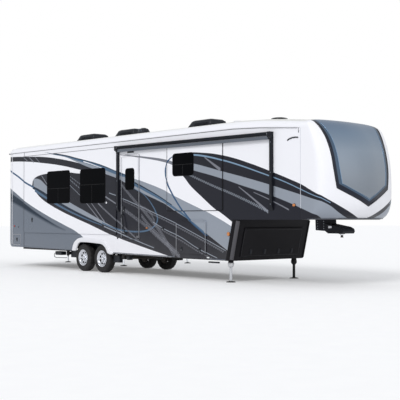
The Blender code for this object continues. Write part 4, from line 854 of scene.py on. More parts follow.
class Form:
    """A mesh under construction in the row's own frame."""

    def __init__(self) -> None:
        """Starts with nothing."""
        self.data = bmesh.new()

    def loft(self, rings: Sequence[Sequence[Point3]], caps: bool = True, closed: bool = False) -> "Form":
        """Adds a surface through rings of equal counts.

        Args:
            rings: the rings in order.
            caps: whether the first and last ring are filled.
            closed: whether the last ring joins the first.

        Returns:
            The form.
        """
        loops = [[self.data.verts.new(point) for point in ring] for ring in rings]
        pairs = list(zip(loops, loops[1:]))
        if closed:
            pairs.append((loops[-1], loops[0]))
        for ring, following in pairs:
            for i in range(len(ring)):
                j = (i + 1) % len(ring)
                self.data.faces.new((ring[i], ring[j], following[j], following[i]))
        if caps and not closed:
            self.data.faces.new(loops[0])
            self.data.faces.new(loops[-1])
        return self

    def prism(self, outline: Sequence[Point2], axis: Axis, low: float, high: float) -> "Form":
        """Adds an outline extruded along an axis from low to high."""
        return self.loft([[axis.place(u, v, depth) for u, v in outline] for depth in (low, high)])

    def block(self, x: Point2, y: Point2, z: Point2) -> "Form":
        """Adds a box from pairs of low and high coordinates."""
        return self.prism(((x[0], z[0]), (x[1], z[0]), (x[1], z[1]), (x[0], z[1])), Axis.Y, *sorted(y))

    def lathe(self, profile: Sequence[Point2], centre: Point3, axis: Axis, steps: int = 24,
            closed: bool = False) -> "Form":
        """Adds a turned shape.

        Args:
            profile: (place along the axis, radius) pairs.
            centre: where the profile's 0 lies.
            axis: the axis of turning.
            steps: how many sides it has.
            closed: whether the profile is a ring.

        Returns:
            The form.
        """
        rings = []
        for along, radius in profile:
            ring = [axis.place(radius * math.cos(a), radius * math.sin(a), along) for a in turns(steps)]
            rings.append([tuple(Vector(point) + Vector(centre)) for point in ring])
        return self.loft(rings, closed=closed)

    def tube(self, points: Sequence[Point3], radius: float, steps: int = 8) -> "Form":
        """Adds a round bar through points."""
        places = [Vector(point) for point in points]
        rings = []
        side = None
        for i, point in enumerate(places):
            run = (places[min(i + 1, len(places) - 1)] - places[max(i - 1, 0)]).normalized()
            if side is None:
                side = run.orthogonal().normalized()
            side = (side - run * side.dot(run)).normalized()
            other = run.cross(side)
            rings.append([tuple(point + radius * (math.cos(a) * side + math.sin(a) * other))
                for a in turns(steps)])
        return self.loft(rings)

    def moulding(self, path: Sequence[Point2], section: Sequence[Point2], axis: Axis, depth: float,
            out: int = 1, closed: bool = False) -> "Form":
        """Adds a bar of one section along a path on a plane.

        Args:
            path: the places that it passes, as outline coordinates.
            section: its section as (across the path, out of the plane) pairs; left of the run is positive.
            axis: the axis that the plane faces.
            depth: the plane's place along that axis.
            out: the sign of the outward direction.
            closed: whether the path is a ring.

        Returns:
            The form.
        """
        rings = []
        for (u, v), (du, dv) in zip(path, mitres(path, closed)):
            rings.append([axis.place(u + du * across, v + dv * across, depth + out * up)
                for across, up in section])
        return self.loft(rings, caps=not closed, closed=closed)

    def draped(self, places: Sequence[Vector], normals: Sequence[Vector],
            section: Sequence[Point2]) -> "Form":
        """Adds a bar of one section along a line on a curved surface.

        Args:
            places: the places that it passes.
            normals: the surface's outward normal at each.
            section: its section as (across the run, out of the surface) pairs.

        Returns:
            The form.
        """
        rings = []
        last = len(places) - 1
        for i, (place, normal) in enumerate(zip(places, normals)):
            run = (places[min(i + 1, last)] - places[max(i - 1, 0)]).normalized()
            across = normal.cross(run).normalized()
            rings.append([tuple(place + across * a + normal * b) for a, b in section])
        return self.loft(rings)

    def pad(self, u: Point2, v: Point2, radius: float, axis: Axis, depth: float, out: int, height: float,
            edge: float = 0.003) -> "Form":
        """Adds a low boss: a rectangle with round corners and a rounded rim.

        Args:
            u: its low and high first coordinate.
            v: its low and high second coordinate.
            radius: the corners' radius.
            axis: the axis that it faces.
            depth: the place along that axis of the surface under it.
            out: the sign of the outward direction.
            height: how far it stands out.
            edge: the radius of its rim.

        Returns:
            The form.
        """
        rings = []
        for inset, up in (
                (0.0, LIFT), (0.0, height - edge), (edge * 0.3, height - edge * 0.3), (edge, height)):
            outline = rounded(grown(u, -inset), grown(v, -inset), max(0.001, radius - inset))
            rings.append([axis.place(across, along, depth + out * up) for across, along in outline])
        return self.loft(rings)

    def pierced(self, stations: Sequence[Point2], solid: Callable[[int, int], bool], thickness: float,
            place: Callable[[float, float, float], Point3], steps: int) -> "Form":
        """Adds a turned sheet with windows in it.

        Args:
            stations: (radius, place along the axis) pairs of its outer face.
            solid: whether the cell at a station and a step is there.
            thickness: the sheet's thickness.
            place: a point from its two cross coordinates and its place along the axis.
            steps: how many sides it has.

        Returns:
            The form.
        """
        faces = []
        for drop in (0.0, thickness):
            rows = []
            for radius, along in stations:
                ring = [place(radius * math.cos(a), radius * math.sin(a), along - drop) for a in turns(steps)]
                rows.append([self.data.verts.new(point) for point in ring])
            faces.append(rows)
        front, back = faces
        last = len(stations) - 1
        for i in range(last):
            for k in range(steps):
                j = (k + 1) % steps
                if not solid(i, k):
                    continue
                for rows in faces:
                    self.data.faces.new((rows[i][k], rows[i][j], rows[i + 1][j], rows[i + 1][k]))
                borders = (
                    (i == 0 or not solid(i - 1, k), (i, k), (i, j)),
                    (i == last - 1 or not solid(i + 1, k), (i + 1, k), (i + 1, j)),
                    (not solid(i, (k - 1) % steps), (i, k), (i + 1, k)),
                    (not solid(i, j), (i, j), (i + 1, j)))
                for bare, (a, b), (c, d) in borders:
                    if bare:
                        self.data.faces.new((front[a][b], front[c][d], back[c][d], back[a][b]))
        loose = [vert for vert in self.data.verts if not vert.link_faces]
        bmesh.ops.delete(self.data, geom=loose, context="VERTS")
        return self

    def piece(self, name: str, finish: Finish, body: str = "trailer", slot: str | None = None,
            smooth: float = 35.0, bevel: float = 0.0, replaces: Iterable[str] = ()) -> bpy.types.Object:
        """Turns the form into a piece that rides on a body.

        Args:
            name: the piece's name.
            finish: its finish.
            body: the body that it moves with.
            slot: not used.
            smooth: the angle up to which edges are shaded smooth, in degrees.
            bevel: the width of its rounded edges, or 0.
            replaces: the nodes that it stands for.

        Returns:
            The piece.
        """
        bmesh.ops.recalc_face_normals(self.data, faces=self.data.faces[:])
        bmesh.ops.translate(self.data, verts=self.data.verts[:], vec=(DATUM, 0.0, 0.0))
        mesh = bpy.data.meshes.new(name)
        self.data.to_mesh(mesh)
        self.data.free()
        mesh.shade_smooth()
        mesh.set_sharp_from_angle(angle=math.radians(smooth))
        made = bpy.data.objects.new(name, mesh)
        bpy.context.scene.collection.objects.link(made)
        made.data.materials.append(finish.material())
        if bevel:
            edge = made.modifiers.new("edge", "BEVEL")
            edge.width = bevel
            edge.segments = 2
            edge.limit_method = "ANGLE"
            edge.angle_limit = math.radians(40)
            edge.harden_normals = True
        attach(made, body)
        for node in replaces:
            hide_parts(node)
        LOG.info("piece %s on %s: %d faces", name, body, len(mesh.polygons))
        return made


def turns(steps: int) -> list[float]:
    """The angles of a full circle's steps."""
    return [math.tau * k / steps for k in range(steps)]


def mitres(path: Sequence[Point2], closed: bool) -> list[Point2]:
    """The direction across a path at each of its places, longer where it bends.

    Args:
        path: the places.
        closed: whether the path is a ring.

    Returns:
        The directions, pointing to the left of the run.
    """
    count = len(path)
    found = []
    for i in range(count):
        before = path[i - 1] if i or closed else path[i]
        after = path[(i + 1) % count] if i < count - 1 or closed else path[i]
        runs = (Vector(path[i]) - Vector(before), Vector(after) - Vector(path[i]))
        runs = [run.normalized() for run in runs if run.length > 1e-9]
        mean = (runs[0] + runs[-1]).normalized()
        stretch = 1 / max(0.5, mean.dot(runs[0]))
        found.append((-mean.y * stretch, mean.x * stretch))
    return found


def half_round(width: float, height: float, steps: int = 6) -> list[Point2]:
    """The section of a half-round bar that lies on a plane, as (across, out)."""
    half_turn = [math.pi * k / steps for k in range(steps + 1)]
    return [(-width / 2 * math.cos(a), LIFT + height * math.sin(a)) for a in half_turn]


def flat_bar(width: float, height: float, edge: float = 0.0015) -> list[Point2]:
    """The section of a flat bar with broken edges that lies on a plane, as (across, out)."""
    half, top = width / 2, LIFT + height
    return [(-half, LIFT), (-half, top - edge), (edge - half, top), (half - edge, top), (half, top - edge),
        (half, LIFT)]


def strips(name: str, x: Point2, z: Point2, plane: float, side: int, body: str = "trailer") -> None:
    """Cover strips round a door: bright uprights, and rails in body colour above and below.

    Args:
        name: the strips' name.
        x: the uprights' places.
        z: the rails' heights.
        plane: the Y of the surface under them.
        side: the sign of the outward direction.
        body: the body that they ride on.
    """
    (low_x, high_x), (low_z, high_z) = grown(x, -0.03), grown(z, -0.03)
    section = flat_bar(0.013, 0.0024, 0.0008)
    uprights = Form()
    rails = Form()
    for at in x:
        uprights.moulding(((at, low_z), (at, high_z)), section, Axis.Y, plane, side)
    for at in z:
        rails.moulding(((low_x, at), (high_x, at)), section, Axis.Y, plane, side)
    uprights.piece(f"{name}_uprights", ALUMINIUM, body, "bare_aluminium")
    rails.piece(f"{name}_rails", BODY, body, "shell")


def rounded(u: Point2, v: Point2, radius: float, steps: int = 5) -> list[Point2]:
    """A rectangle with rounded corners.

    Args:
        u: its low and high first coordinate.
        v: its low and high second coordinate.
        radius: the corners' radius.
        steps: how many edges a corner has.

    Returns:
        The outline, counter-clockwise.
    """
    points = []
    for cu, cv, start in ((u[1], v[0], 270), (u[1], v[1], 0), (u[0], v[1], 90), (u[0], v[0], 180)):
        mid_u = cu - math.copysign(radius, cu - sum(u) / 2)
        mid_v = cv - math.copysign(radius, cv - sum(v) / 2)
        for k in range(steps + 1):
            turn = math.radians(start + 90 * k / steps)
            points.append((mid_u + radius * math.cos(turn), mid_v + radius * math.sin(turn)))
    return points


def grown(pair: Point2, amount: float) -> Point2:
    """A low and high pair moved apart by an amount at each end."""
    return (pair[0] - amount, pair[1] + amount)


class Surface:
    """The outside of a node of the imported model, to set pieces on."""

    def __init__(self, node: str) -> None:
        """Reads the node's faces."""
        mesh = frame["nodes"][node].data
        verts = [vertex.co - Vector((DATUM, 0.0, 0.0)) for vertex in mesh.vertices]
        self.tree = BVHTree.FromPolygons(verts, [tuple(polygon.vertices) for polygon in mesh.polygons])

    def touch(self, start: Point3, direction: Point3) -> tuple[Vector, Vector]:
        """Where a line from a point first meets the surface.

        Args:
            start: the line's start.
            direction: its direction.

        Returns:
            The place and the surface's outward normal there.
        """
        place, normal, _, _ = self.tree.ray_cast(Vector(start), Vector(direction))
        if place is None:
            raise ValueError(f"nothing lies at {tuple(start)} towards {tuple(direction)}")
        if normal.dot(Vector(direction)) > 0:
            normal = -normal
        return place, normal

    def plane(self, x: float, z: float, side: int) -> float:
        """The Y of the surface at a place on one side."""
        return self.touch((x, side * 3.0, z), (0.0, -side, 0.0))[0].y

    def top(self, x: float, y: float) -> float:
        """The height of the surface at a place, seen from above."""
        return self.touch((x, y, 5.0), (0.0, 0.0, -1.0))[0].z


def smooth_node(name: str, angle: float = 30.0) -> None:
    """Shades a carried-over node smooth up to an angle, by a modifier that leaves its mesh as it is."""
    key = f"smooth_{angle:g}"
    group = bpy.data.node_groups.get(key) or make_smoother(key, angle)
    step = frame["nodes"][name].modifiers.new("smooth", "NODES")
    step.node_group = group


def make_smoother(key: str, angle: float) -> bpy.types.NodeTree:
    """A geometry node group that joins split corners and shades smooth up to an angle.

    Args:
        key: the group's name.
        angle: the angle in degrees.

    Returns:
        The group.
    """
    group = bpy.data.node_groups.new(key, "GeometryNodeTree")
    group.interface.new_socket("Geometry", in_out="INPUT", socket_type="NodeSocketGeometry")
    group.interface.new_socket("Geometry", in_out="OUTPUT", socket_type="NodeSocketGeometry")
    kinds = ("NodeGroupInput", "GeometryNodeMergeByDistance", "GeometryNodeSetShadeSmooth",
        "GeometryNodeInputMeshEdgeAngle", "FunctionNodeCompare", "GeometryNodeSetShadeSmooth",
        "NodeGroupOutput")
    start, merge, faces, edge_angle, compare, edges, end = (group.nodes.new(kind) for kind in kinds)
    merge.inputs["Distance"].default_value = 1e-5
    faces.domain = "FACE"
    edges.domain = "EDGE"
    edges.inputs["Shade Smooth"].default_value = False
    compare.inputs["B"].default_value = math.radians(angle)
    for output, target in (
            (start.outputs[0], merge.inputs["Geometry"]), (merge.outputs[0], faces.inputs["Geometry"]),
            (faces.outputs[0], edges.inputs["Geometry"]),
            (edge_angle.outputs["Unsigned Angle"], compare.inputs["A"]),
            (compare.outputs["Result"], edges.inputs["Selection"]), (edges.outputs[0], end.inputs[0])):
        group.links.new(output, target)
    return group


def dress(finish: Finish, *nodes: str, smooth: float | None = 30.0) -> None:
    """Gives carried-over nodes their finish.

    Args:
        finish: the finish.
        nodes: the nodes' names.
        smooth: the angle up to which they are shaded smooth, or None.
    """
    for name in nodes:
        thing = frame["nodes"][name]
        thing.data.materials.clear()
        thing.data.materials.append(finish.material())
        if smooth:
            smooth_node(name, smooth)
    LOG.info("dressed %s with %s", ", ".join(nodes), finish.key)


@dataclass
class Shell:
    """The body's fixed panels: walls, caps, roof and the wall under the gooseneck."""

    cap_levels: int = 44
    cap_steps: int = 72
    skin: float = 0.04
    cap_rise: float = 0.2208
    cap_gutter_z: float = 3.5
    widest_z: float = 2.3
    belly_draw: float = 0.2
    belly_rise: float = 0.042        # how far its lower edge rises towards the front
    plan_power: float = 10.0
    plan_soften: float = 6.5         # how much rounder its corners are at the belly
    plan_wedge: float = 0.335        # how far its flat front falls away to each side, as a share of its reach
    profile_power: float = 2.0

    def reach(self, z: float) -> float:
        """How far the front cap reaches ahead of its seam at a height."""
        full = NOSE_X - CAP_SEAM_X
        top = self.cap_gutter_z + self.cap_rise
        if z > self.widest_z:
            share = (z - self.widest_z) / (top - self.widest_z)
            return full * max(0.0, 1 - share ** self.profile_power) ** (1 / self.profile_power)
        return full - self.belly_draw * ((self.widest_z - z) / (self.widest_z - BELLY_Z)) ** 4

    def half_width(self, z: float) -> float:
        """Half the front cap's width at a height."""
        if z <= self.cap_gutter_z:
            return WALL_Y
        return WALL_Y * max(0.0, 1 - ((z - self.cap_gutter_z) / self.cap_rise) ** 3) ** (1 / 3)

    def plan(self, z: float, inset: float) -> list[Point2]:
        """The cap's plan at a height, from curb to street, as (X, Y)."""
        half, reach = self.half_width(z) - inset, self.reach(z) - inset
        points = []
        for k in range(self.cap_steps + 1):
            turn = math.pi * (1 - k / self.cap_steps)
            c, s = math.cos(turn), math.sin(turn)
            share = abs(c) ** 0.5 if abs(c) < 0.9 else 0.9 ** 0.5 + (abs(c) - 0.9) / 0.1 * (1 - 0.9 ** 0.5)
            points.append((CAP_SEAM_X + self.ahead(share, z, reach), half * math.copysign(share, c)))
        return points

    def ahead(self, share: float, z: float, reach: float) -> float:
        """How far the cap is ahead of its seam at a share of its half width: a wedge with round corners."""
        low = max(0.0, (self.widest_z - z) / (self.widest_z - BELLY_Z)) ** 4
        power = self.plan_power - self.plan_soften * low
        soft = (math.sqrt(share * share + 0.03) - math.sqrt(0.03)) / (math.sqrt(1.03) - math.sqrt(0.03))
        return reach * (1 - self.plan_wedge * soft) * max(0.0, 1 - share ** power) ** (1 / power)

    def rise(self, x: float, z: float) -> float:
        """How far a place near the cap's lower edge is moved up, as the edge climbs towards the front."""
        share = max(0.0, x - CAP_SEAM_X) / (NOSE_X - CAP_SEAM_X)
        return self.belly_rise * share * max(0.0, 1 - (z - BELLY_Z) / 0.6)

    def nose(self, y: float, z: float) -> Vector:
        """The place on the front cap at a width and a height."""
        half = self.half_width(z)
        x = CAP_SEAM_X + self.ahead(min(1.0, abs(y) / half), z, self.reach(z))
        return Vector((x, y, z + self.rise(x, z)))

    def facing(self, y: float, z: float) -> Vector:
        """The outward normal of the front cap at a width and a height."""
        step = 0.01
        across = self.nose(y + step, z) - self.nose(y - step, z)
        up = self.nose(y, z + step) - self.nose(y, z - step)
        return across.cross(up).normalized()

    def build_cap(self) -> None:
        """The moulded front cap as one smooth sheet with its thickness."""
        top = self.cap_gutter_z + self.cap_rise
        last = top - 0.006
        # Levels close up towards the rolled top.
        levels = [BELLY_Z + (last - BELLY_Z) * math.sin(math.pi / 2 * k / self.cap_levels)
            for k in range(self.cap_levels + 1)]
        form = Form()
        sheets = []
        for inset in (0.0, self.skin):
            rows = []
            for level in levels:
                z = level - inset * (level - BELLY_Z) / (top - BELLY_Z)
                rows.append([form.data.verts.new((x, y, z + self.rise(x, z)))
                    for x, y in self.plan(level, inset)])
            sheets.append(rows)
        for rows in sheets:
            for row, above in zip(rows, rows[1:]):
                for k in range(self.cap_steps):
                    form.data.faces.new((row[k], row[k + 1], above[k + 1], above[k]))
            form.data.faces.new(rows[-1])
        outer, inner = sheets
        for k in range(self.cap_steps):
            form.data.faces.new((outer[0][k], outer[0][k + 1], inner[0][k + 1], inner[0][k]))
        for end in (0, -1):
            for i in range(self.cap_levels):
                form.data.faces.new((outer[i][end], outer[i + 1][end], inner[i + 1][end], inner[i][end]))
        form.data.faces.new((outer[-1][0], outer[-1][-1], inner[-1][-1], inner[-1][0]))
        form.piece("nose_cap", NOSE, slot="shell", smooth=50, replaces=("front_cap",))

    def build(self) -> None:
        """Dresses the panels and builds the cap."""
        dress(BODY, "wall_curb", "wall_street", "rear_cap", "door_frame", "entry_door", "bay_door_curb",
            "bay_door_street")
        dress(ROOM_BODY, "room_living_curb", "room_living_street", "room_bedroom_curb",
            "room_bedroom_street")
        dress(MEMBRANE, "roof")
        dress(CHARCOAL_WALL, "wall_front_lower", "bay_door_front")
        dress(BOARDS, "floor_living", "floor_upper", "floor_bay", smooth=None)
        self.build_cap()


@dataclass
class Glazing:
    """The tinted windows with their slider bars."""

    bar: float = 0.012
    # window, share of the height that opens, place of the divider across
    sliders: tuple[tuple[str, float, float], ...] = (
        ("window_living_rear", 0.46, 0.5), ("window_living_front", 0.54, 0.48),
        ("window_dinette", 0.5, 0.5), ("window_sofa", 0.5, 0.5), ("window_bedroom", 0.5, 0.5),
        ("window_wardrobe", 0.5, 0.5))

    def build(self) -> None:
        """Dresses the glass and adds the bars."""
        for name in ("window_entry", *(row[0] for row in self.sliders)):
            dress(GLASS, name)
        for name, share, middle in self.sliders:
            low, high = BOXES[name]
            side = 1 if low.y > 0 else -1
            face = high.y if side > 0 else -low.y
            y = sorted((side * (face - 0.002), side * (face + 0.0025)))
            inset = 0.035
            bar_z = low.z + (high.z - low.z) * share
            bar_x = low.x + (high.x - low.x) * middle
            form = Form()
            half = self.bar / 2
            form.block((low.x + inset, high.x - inset), y, (bar_z - half, bar_z + half))
            form.block((bar_x - half, bar_x + half), y, (low.z + inset, bar_z - half - 0.0005))
            body = frame["nodes"][name].parent.name.removeprefix("body:")
            form.piece(f"{name}_bars", RUBBER, body, "tinted_glass", bevel=0.0015)


@dataclass
class Wheels:
    """Four tyres with tread and shoulder blocks, and polished rims with hand holes, nuts and hub caps."""

    middle_x: float = -2.17
    half_spacing: float = 0.475
    radius: float = 0.39
    width: float = 0.235
    face_y: float = FACE_Y - 0.048
    steps: int = 120
    rim_steps: int = 96
    holes: int = 8
    lug_ring: float = 0.0825
    # place across, radius, depth of the slots between blocks; from the middle plane outwards
    half_tread: tuple[Point3, ...] = (
        (0.0, 0.389, 0.0), (0.009, 0.3895, 0.0), (0.0095, 0.3805, 0.0), (0.0165, 0.3805, 0.0),
        (0.017, 0.3898, 0.003), (0.044, 0.3896, 0.003), (0.0445, 0.38, 0.0), (0.0525, 0.38, 0.0),
        (0.053, 0.3892, 0.007), (0.079, 0.388, 0.007), (0.09, 0.384, 0.007), (0.0965, 0.3785, 0.006),
        (0.101, 0.37, 0.004), (0.1045, 0.362, 0.0), (0.1085, 0.3535, 0.0), (0.1125, 0.343, 0.0),
        (0.1128, 0.3395, 0.0), (0.115, 0.338, 0.0), (0.116, 0.325, 0.0), (0.1175, 0.31, 0.0),
        (0.1172, 0.296, 0.0), (0.115, 0.283, 0.0), (0.112, 0.27, 0.0), (0.1125, 0.268, 0.0),
        (0.108, 0.256, 0.0), (0.104, 0.244, 0.0), (0.099, 0.235, 0.0), (0.088, 0.225, 0.0))
    # radius, place across from the middle plane
    dish: tuple[Point2, ...] = (
        (0.052, 0.046), (0.066, 0.047), (0.098, 0.047), (0.116, 0.044), (0.124, 0.045), (0.13, 0.048),
        (0.137, 0.051), (0.158, 0.06), (0.165, 0.064), (0.172, 0.069), (0.186, 0.081), (0.198, 0.091),
        (0.207, 0.099), (0.2165, 0.104))
    barrel: tuple[Point2, ...] = (
        (0.104, 0.216), (0.1085, 0.219), (0.11, 0.225), (0.1085, 0.232), (0.104, 0.234), (0.0985, 0.233),
        (0.09, 0.224), (0.088, 0.2222), (-0.088, 0.2222), (-0.0985, 0.233), (-0.1085, 0.2335),
        (-0.1085, 0.228), (-0.096, 0.225), (-0.085, 0.216), (0.085, 0.216))

    def tyre(self, name: str, centre: Point3, side: int) -> None:
        """Builds one tyre; its shoulder blocks are set off from its tread blocks."""
        across = [(-a, r, slot) for a, r, slot in self.half_tread[::-1]] + list(self.half_tread[1:])
        form = Form()
        rings = []
        for a, r, slot in across:
            ring = []
            for k in range(self.steps):
                phase = 0 if abs(a) < 0.03 else 2 if abs(a) < 0.053 else 4
                cut = slot if (k + phase) % 6 < 2 else 0.0
                turn = math.tau * k / self.steps
                ring.append((centre[0] + (r - cut) * math.cos(turn), centre[1] + side * a,
                    centre[2] + (r - cut) * math.sin(turn)))
            rings.append(ring)
        form.loft(rings, closed=True)
        form.piece(name, TYRE, name.replace("tyre", "wheel"), "tyre", smooth=28, replaces=(name,))

    def _solid(self, station: int, step: int) -> bool:
        """Whether the dish is there: its windows lie between the spokes and have rounded ends."""
        if not 4 <= station <= 7:
            return True
        share = step % (self.rim_steps // self.holes)
        reach = 1 if station in (4, 7) else 0
        return not 2 + reach <= share <= 9 - reach

    def rim(self, name: str, centre: Point3, side: int) -> None:
        """Builds one rim, its nuts and its hub cap."""
        body = name.replace("rim", "wheel")
        form = Form()
        form.pierced(self.dish, self._solid, 0.007,
            lambda u, v, a: (centre[0] + u, centre[1] + side * a, centre[2] + v), self.rim_steps)
        form.lathe([(side * a, r) for a, r in self.barrel], centre, Axis.Y, self.rim_steps, closed=True)
        form.piece(name.replace("rim", "rim_disc"), POLISHED, body, "wheel_rim", smooth=40,
            replaces=(name,))
        studs = Form()
        nut = ((0.0472, 0.016), (0.05, 0.016), (0.051, 0.0135), (0.064, 0.0125), (0.07, 0.009),
            (0.072, 0.004))
        for k in range(self.holes):
            turn = math.tau * (k + 0.5) / self.holes
            x, z = self.lug_ring * math.cos(turn), self.lug_ring * math.sin(turn)
            middle = (centre[0] + x, centre[1], centre[2] + z)
            studs.lathe([(side * a, r) for a, r in nut], middle, Axis.Y, 12)
        cap = ((0.036, 0.0505), (0.074, 0.05), (0.078, 0.0475), (0.0785, 0.036), (0.092, 0.033),
            (0.098, 0.027), (0.1005, 0.016), (0.1012, 0.004))
        studs.lathe([(side * a, r) for a, r in cap], centre, Axis.Y, 36)
        valve = ((0.06, 0.0055), (0.086, 0.0048), (0.088, 0.0036), (0.094, 0.0036))
        studs.lathe([(side * a, r) for a, r in valve], (centre[0] + 0.172, centre[1], centre[2] - 0.03),
            Axis.Y, 10)
        studs.piece(name.replace("rim", "hub_cap"), CHROME, body, "wheel_rim", smooth=40)

    def build(self) -> None:
        """Builds all four wheels."""
        for side in Side:
            for word, sign in (("rear", -1), ("front", 1)):
                y = side.value * (self.face_y - self.width / 2)
                centre = (self.middle_x + sign * self.half_spacing, y, self.radius)
                self.tyre(f"tyre_{side.word}_{word}", centre, side.value)
                self.rim(f"rim_{side.word}_{word}", centre, side.value)


@dataclass
class Arches:
    """The rolled lips of the wheel arches."""

    outer: tuple[Point2, ...] = (
        (-3.145, 0.584), (-3.133, 0.635), (-3.086, 0.749), (-3.03, 0.82), (-2.955, 0.873), (-2.87, 0.92),
        (-2.77, 0.95), (-2.65, 0.967), (-2.549, 0.971), (-2.223, 0.957), (-1.868, 0.939), (-1.68, 0.926),
        (-1.6, 0.914), (-1.52, 0.888), (-1.417, 0.825), (-1.35, 0.757), (-1.297, 0.697), (-1.229, 0.634),
        (-1.165, 0.585), (-1.103, 0.55))
    inner: tuple[Point2, ...] = (
        (-2.965, 0.584), (-2.942, 0.63), (-2.895, 0.713), (-2.845, 0.772), (-2.784, 0.815), (-2.71, 0.84),
        (-2.38, 0.841), (-1.97, 0.825), (-1.7, 0.811), (-1.61, 0.797), (-1.534, 0.768), (-1.431, 0.697),
        (-1.385, 0.635), (-1.345, 0.567), (-1.294, 0.545), (-1.2, 0.527), (-1.12, 0.532))
    stations: int = 64
    # distance in from the outer edge, as a share of the width and in metres; place out of the face
    section: tuple[Point3, ...] = (
        (0.0, -0.009, -0.0218), (0.0, -0.0085, -0.01), (0.0, -0.005, 0.0), (0.0, 0.004, 0.0055),
        (0.25, 0.0, 0.0075), (0.6, 0.0, 0.007), (1.0, -0.008, 0.0045), (1.0, 0.0, 0.0005),
        (1.0, 0.0035, -0.008), (1.0, 0.004, -0.0395), (1.0, 0.0012, -0.0395), (1.0, 0.0006, -0.0005),
        (0.0, -0.0006, -0.0005), (0.0, -0.0012, -0.0218))

    @staticmethod
    def spread(points: Sequence[Point2], count: int) -> list[Vector]:
        """Places at equal shares of a line's length."""
        places = [Vector(point) for point in points]
        runs = [0.0]
        for here, there in zip(places, places[1:]):
            runs.append(runs[-1] + (there - here).length)
        found = []
        for k in range(count + 1):
            target = runs[-1] * k / count
            i = max(1, next((n for n, run in enumerate(runs) if run >= target), len(runs) - 1))
            share = (target - runs[i - 1]) / (runs[i] - runs[i - 1])
            found.append(places[i - 1].lerp(places[i], share))
        return found

    def build(self) -> None:
        """Lays a rolled lip over the arch on each side."""
        for side in Side:
            rings = []
            edges = (self.spread(points, self.stations) for points in (self.outer, self.inner))
            for out, into in zip(*edges):
                width = (into - out).length
                run = (into - out).normalized()
                ring = []
                for share, step, up in self.section:
                    place = out + run * (share * width + step)
                    ring.append((place.x, side.value * (FACE_Y + up), place.y))
                rings.append(ring)
            Form().loft(rings).piece(f"arch_lip_{side.word}", WHITE_MOULD, slot="shell", smooth=60)


